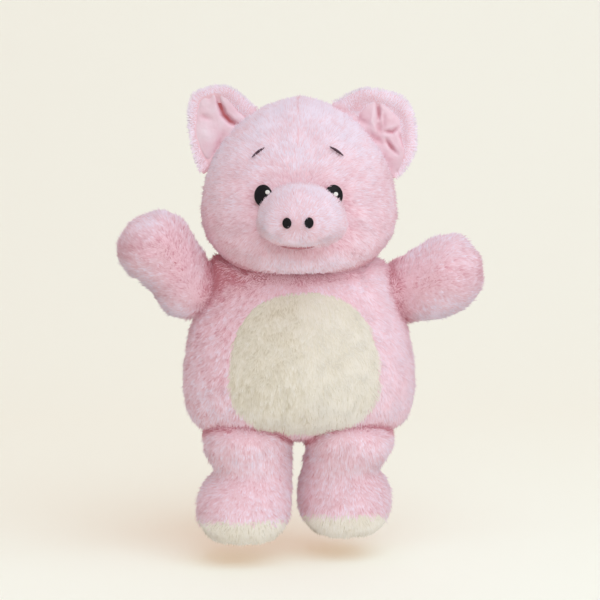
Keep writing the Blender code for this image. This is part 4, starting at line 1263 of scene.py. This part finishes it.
EYE_LIFT = -1.0
GLINT_PLACE = {"right": (-20.6, 254.2), "left": (26.4, 252.8)}
GLINT = (1.6, 1.5)
face = {}
for side, sign in SIGN.items():
    face[side + "_eye"] = stitched_oval(side + "_eye_stitch", EYE_PLACE[side], *EYE, head_front, EYE_LIFT,
                                        1.8, 0.5, 8.0 * sign, black_thread)
    face[side + "_eye_highlight"] = stitched_oval(
        side + "_eye_glint", GLINT_PLACE[side], *GLINT, head_front, EYE_LIFT + 1.6, 0.7, 0.5, 0.0,
        white_thread)
    face[side + "_nostril"] = stitched_oval(side + "_nostril_stitch", NOSTRIL_PLACE[side],
                                            *NOSTRIL, snout_front, -0.6, 1.1, 0.45, 0.0, black_thread)

# %% [markdown]
# Each brow is one long dark stitch that thins out at both ends, and the mouth is one rose
# thread pulled tight, so all are thin tubes along short curves on the face.

# %% Threads along a curve
def tube(path, radius, sides=12):
    """Closed round tube along a path; radius is one number or one for each point of the path."""
    along = unit(np.gradient(np.asarray(path, dtype=float), axis=0))
    side = unit(np.cross(along, (0.3, 0.1, 1.0)))
    other = np.cross(side, along)
    turn = np.linspace(0.0, 2.0 * np.pi, sides, endpoint=False)[None, :, None]
    thick = np.broadcast_to(radius, len(path))[:, None, None]
    round_it = np.cos(turn) * side[:, None, :] - np.sin(turn) * other[:, None, :]
    return closed_skin(path[:, None, :] + thick * round_it)


def end_taper(count, power):
    """(1 - |2 t - 1|^power)^(1/2) along a thread: a high power keeps it even up to its ends."""
    t = np.linspace(-1.0, 1.0, count)
    return np.sqrt(np.clip(1.0 - np.abs(t) ** power, 0.0, 1.0))


def put_together(parts):
    """Points, quads and triangles of several closed skins as one mesh."""
    first = np.cumsum([0] + [len(points) for points, quads, triangles in parts[:-1]])
    return (np.vstack([points for points, quads, triangles in parts]),
            np.vstack([quads + shift for (points, quads, triangles), shift in zip(parts, first)]),
            np.vstack([triangles + shift for (points, quads, triangles), shift in zip(parts, first)]))


BROW = {"right": ((-23.0, 284.2), (-32.2, 277.2)), "left": ((21.8, 285.0), (31.8, 278.4))}
t = np.linspace(0.0, 1.0, 30)
for side, ((x0, z0), (x1, z1)) in BROW.items():
    x = x0 + (x1 - x0) * t
    z = z0 + (z1 - z0) * t + 0.5 * np.sin(np.pi * t)
    path = in_head(np.stack([x, head_front(x, z, -0.1), z], axis=1))
    face[side + "_brow"] = add_piece(f"{side}_brow_stitch", tube(path, 0.95 * end_taper(30, 1.2)),
                                     brown_thread)
t = np.linspace(-1.0, 1.0, 40)
x = 12.0 * t
z = 215.8 + 1.3 * t * t
y = np.minimum(head_front(x, z, -0.2), snout_front(x[None, :], z[None, :], 0.1)[0])
path = in_head(np.stack([x, y, z], axis=1))
face["mouth_stitch"] = add_piece("mouth_thread", tube(path, 0.8 * end_taper(40, 2.0)), rose_thread)
print("stitches", sorted(face))

# %% [markdown]
# ## Tail and back seam
# The tail is a thin curl of plush behind. Below the neck at the back, a row of small closing
# stitches shows where the stuffing went in.

# %% Tail
TAIL_ROOT = joint_place["tail_bend"]
share = np.linspace(0.0, 1.0, 90)
angle = 2.0 * np.pi * 1.3 * share
widen = np.clip(share / 0.25, 0.0, 1.0)
widen = widen * widen * (3.0 - 2.0 * widen)
coil = 6.5
tail_path = np.stack([coil * widen * np.sin(angle), -3.0 + 21.0 * share,
                      coil * widen * (1.0 - np.cos(angle)) - 0.4 * coil * widen], axis=1) + TAIL_ROOT
tail_skin = tube(tail_path, (3.0 - 1.4 * share) * end_taper(90, 20.0), 24)
tail_cloth = add_piece("tail_cloth", tail_skin, pink_cloth)
roots, normals = scatter(*tail_skin, 0.4, np.random.default_rng(18))
tail_pile = make_pile("tail_pile", roots, normals, 0.0 * roots + (0.0, 1.0, -0.2), 2.6, pink_pile, 95,
                      0.0 * roots[:, 0], width=0.3, lean=1.1, tuft=0.2)

# %% Back seam
rows = curve_through(BODY_SOFT, 200)
t = np.linspace(-1.0, 1.0, 14)
stitches = []
for z in np.linspace(124.0, 172.0, 17):
    back = np.interp(z, rows[:, 0], rows[:, 3]) - PILE_DEPTH + 2.2
    path = np.stack([1.6 * t, back + 0.8 * (1.0 - t * t), z + 0.5 * t], axis=1)
    stitches.append(tube(in_toy(path), 0.35 * end_taper(14, 8.0), 8))
back_seam = add_piece("back_seam_stitches", put_together(stitches), rose_thread)
print("back seam", len(stitches), "stitches")

# %% [markdown]
# ## What moves with what
# Each piece rides on the body of the toy that carries it, and the plain solid that it covers is hidden.

# %% Riding
def dress(piece, body, slot, *nodes):
    """Ride a piece on a body and hide the solids it stands for; slot is not used."""
    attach(piece, body)
    if nodes:
        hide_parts(*nodes)


dress(body_cloth, "torso", "pink_plush", "body_skin")
dress(body_filling, "torso", "stuffing", "body_stuffing")
dress(belly_cloth, "torso", "cream_plush", "belly_patch")
dress(belly_pile, "torso", "cream_plush")
dress(back_seam, "torso", "rose_thread", "back_seam_thread")
for piece in body_piles:
    dress(piece, "torso", "pink_plush")
dress(head_cloth, "head", "pink_plush", "head_skin")
dress(head_filling, "head", "stuffing", "head_stuffing")
dress(snout_cloth, "head", "pink_plush", "snout_skin")
dress(snout_filling, "head", "stuffing", "snout_stuffing")
for piece in (*head_piles, snout_pile):
    dress(piece, "head", "pink_plush")
for side in SIDES:
    for part in ("arm", "leg"):
        name = f"{side}_{part}"
        skin, made, filling = limbs[name]
        dress(made, name, "pink_plush", name + "_skin")
        dress(filling, name, "stuffing", name + "_stuffing")
        dress(limb_piles[name], name, "pink_plush")
    dress(soles[side], side + "_leg", "cream_plush", side + "_sole")
    dress(limb_piles[side + "_sole"], side + "_leg", "cream_plush")
    dress(ears[side + "_plush"][1], side + "_ear", "pink_plush", side + "_ear_back")
    dress(ears[side + "_lining"], side + "_ear", "pink_satin", side + "_ear_lining")
    dress(limb_piles[side + "_ear"], side + "_ear", "pink_plush")
    for part, thread in (("eye", "black"), ("eye_highlight", "white"), ("nostril", "black"),
                         ("brow", "brown")):
        dress(face[f"{side}_{part}"], "head", thread + "_thread", f"{side}_{part}")
dress(face["mouth_stitch"], "head", "rose_thread", "mouth_stitch")
dress(tail_cloth, "tail", "pink_plush", "tail")
dress(tail_pile, "tail", "pink_plush")

# %% [markdown]
# ## Floor and light
# A plain cream sheet runs under the toy and up behind it. For the camera alone it has a warm painted glow,
# which keeps the shadow on it pale and warm, and it is clear from its far side, so that it never hides the
# toy. One large soft lamp hangs high in front, a little to the toy's left, and the pale room fills in the
# rest.

# %% Floor
FLOOR_DROP = 17.0       # the toy hangs just clear of the floor
FLOOR_COLOUR = (0.93, 0.91, 0.86)
SEEN_COLOUR = (0.499, 0.754, 0.815)    # what the camera sees of it, with a warm painted glow
PAINTED_GLOW = (0.39, 0.14, 0.03)
BEND_FROM = 600.0       # mm behind the toy, where the sheet bends up
BEND_RADIUS = 900.0
WALL = BEND_FROM + BEND_RADIUS
turn = np.linspace(0.0, 0.5 * np.pi, 56)
bend = np.stack([BEND_FROM + BEND_RADIUS * np.sin(turn), BEND_RADIUS * (1.0 - np.cos(turn))], axis=1)
sweep = np.vstack([(-2600.0, 0.0), (300.0, 0.0), bend, (WALL, 1600.0), (WALL, 2800.0)])
across = np.linspace(-3000.0, 3000.0, 24)
grid = np.stack(np.broadcast_arrays(across[None, :], sweep[:, :1], sweep[:, 1:] - FLOOR_DROP), axis=2)
rows, columns = grid.shape[:2]
i, j = np.meshgrid(np.arange(rows - 1), np.arange(columns - 1), indexing="ij")
corner = i * columns + j
sheet_quads = np.stack([corner, corner + 1, corner + columns + 1, corner + columns], axis=2).reshape(-1, 4)
floor_paint = Paint("floor_paper", 0.9)
light_path = floor_paint.node("ShaderNodeLightPath")
seen = sum(Number(floor_paint, light_path.outputs[ray])
           for ray in ("Is Camera Ray", "Is Glossy Ray", "Is Transmission Ray")).clamped()
floor_paint.colour(floor_paint.blend(FLOOR_COLOUR, SEEN_COLOUR, seen))
# a painted glow that the camera alone sees
floor_paint.plug(floor_paint.shader.inputs["Emission Color"],
                 floor_paint.blend((0.0, 0.0, 0.0), PAINTED_GLOW, seen))
floor_paint.shader.inputs["Emission Strength"].default_value = 1.0
from_behind = floor_paint.node("ShaderNodeNewGeometry").outputs["Backfacing"]
clear = floor_paint.node("ShaderNodeBsdfTransparent").outputs[0]
sheet = floor_paint.node("ShaderNodeMixShader", None, {0: from_behind, 1: floor_paint.shader.outputs[0],
                                                       2: clear})
floor_paint.plug(floor_paint.nodes["Material Output"].inputs["Surface"], sheet.outputs[0])
floor = add_piece("floor_paper", (grid.reshape(-1, 3), sheet_quads, np.zeros((0, 3), dtype=int)),
                  floor_paint.material)
print("floor", FLOOR_DROP, "mm under the soles")

# %% Lamps
def soft_lamp(name, place, size, power, colour):
    """A square soft box that faces the toy; place in mm."""
    light = bpy.data.lights.new(name, "AREA")
    light.size = size * MM
    light.energy = power
    light.color = colour
    lamp = bpy.data.objects.new(name, light)
    scene.collection.objects.link(lamp)
    lamp.location = Vector(place) * MM
    lamp.rotation_euler = (looked_at - Vector(place)).to_track_quat("-Z", "Y").to_euler()


soft_lamp("key_lamp", (560.0, -1350.0, 1900.0), 2300.0, 41.0, (0.88, 0.97, 1.0))
world = bpy.data.worlds.new("room")
scene.world = world
world.use_nodes = True
world.node_tree.nodes["Background"].inputs["Color"].default_value = (1.0, 0.91, 0.83, 1.0)
world.node_tree.nodes["Background"].inputs["Strength"].default_value = 0.61
print("lamps", [light.name for light in bpy.data.lights])
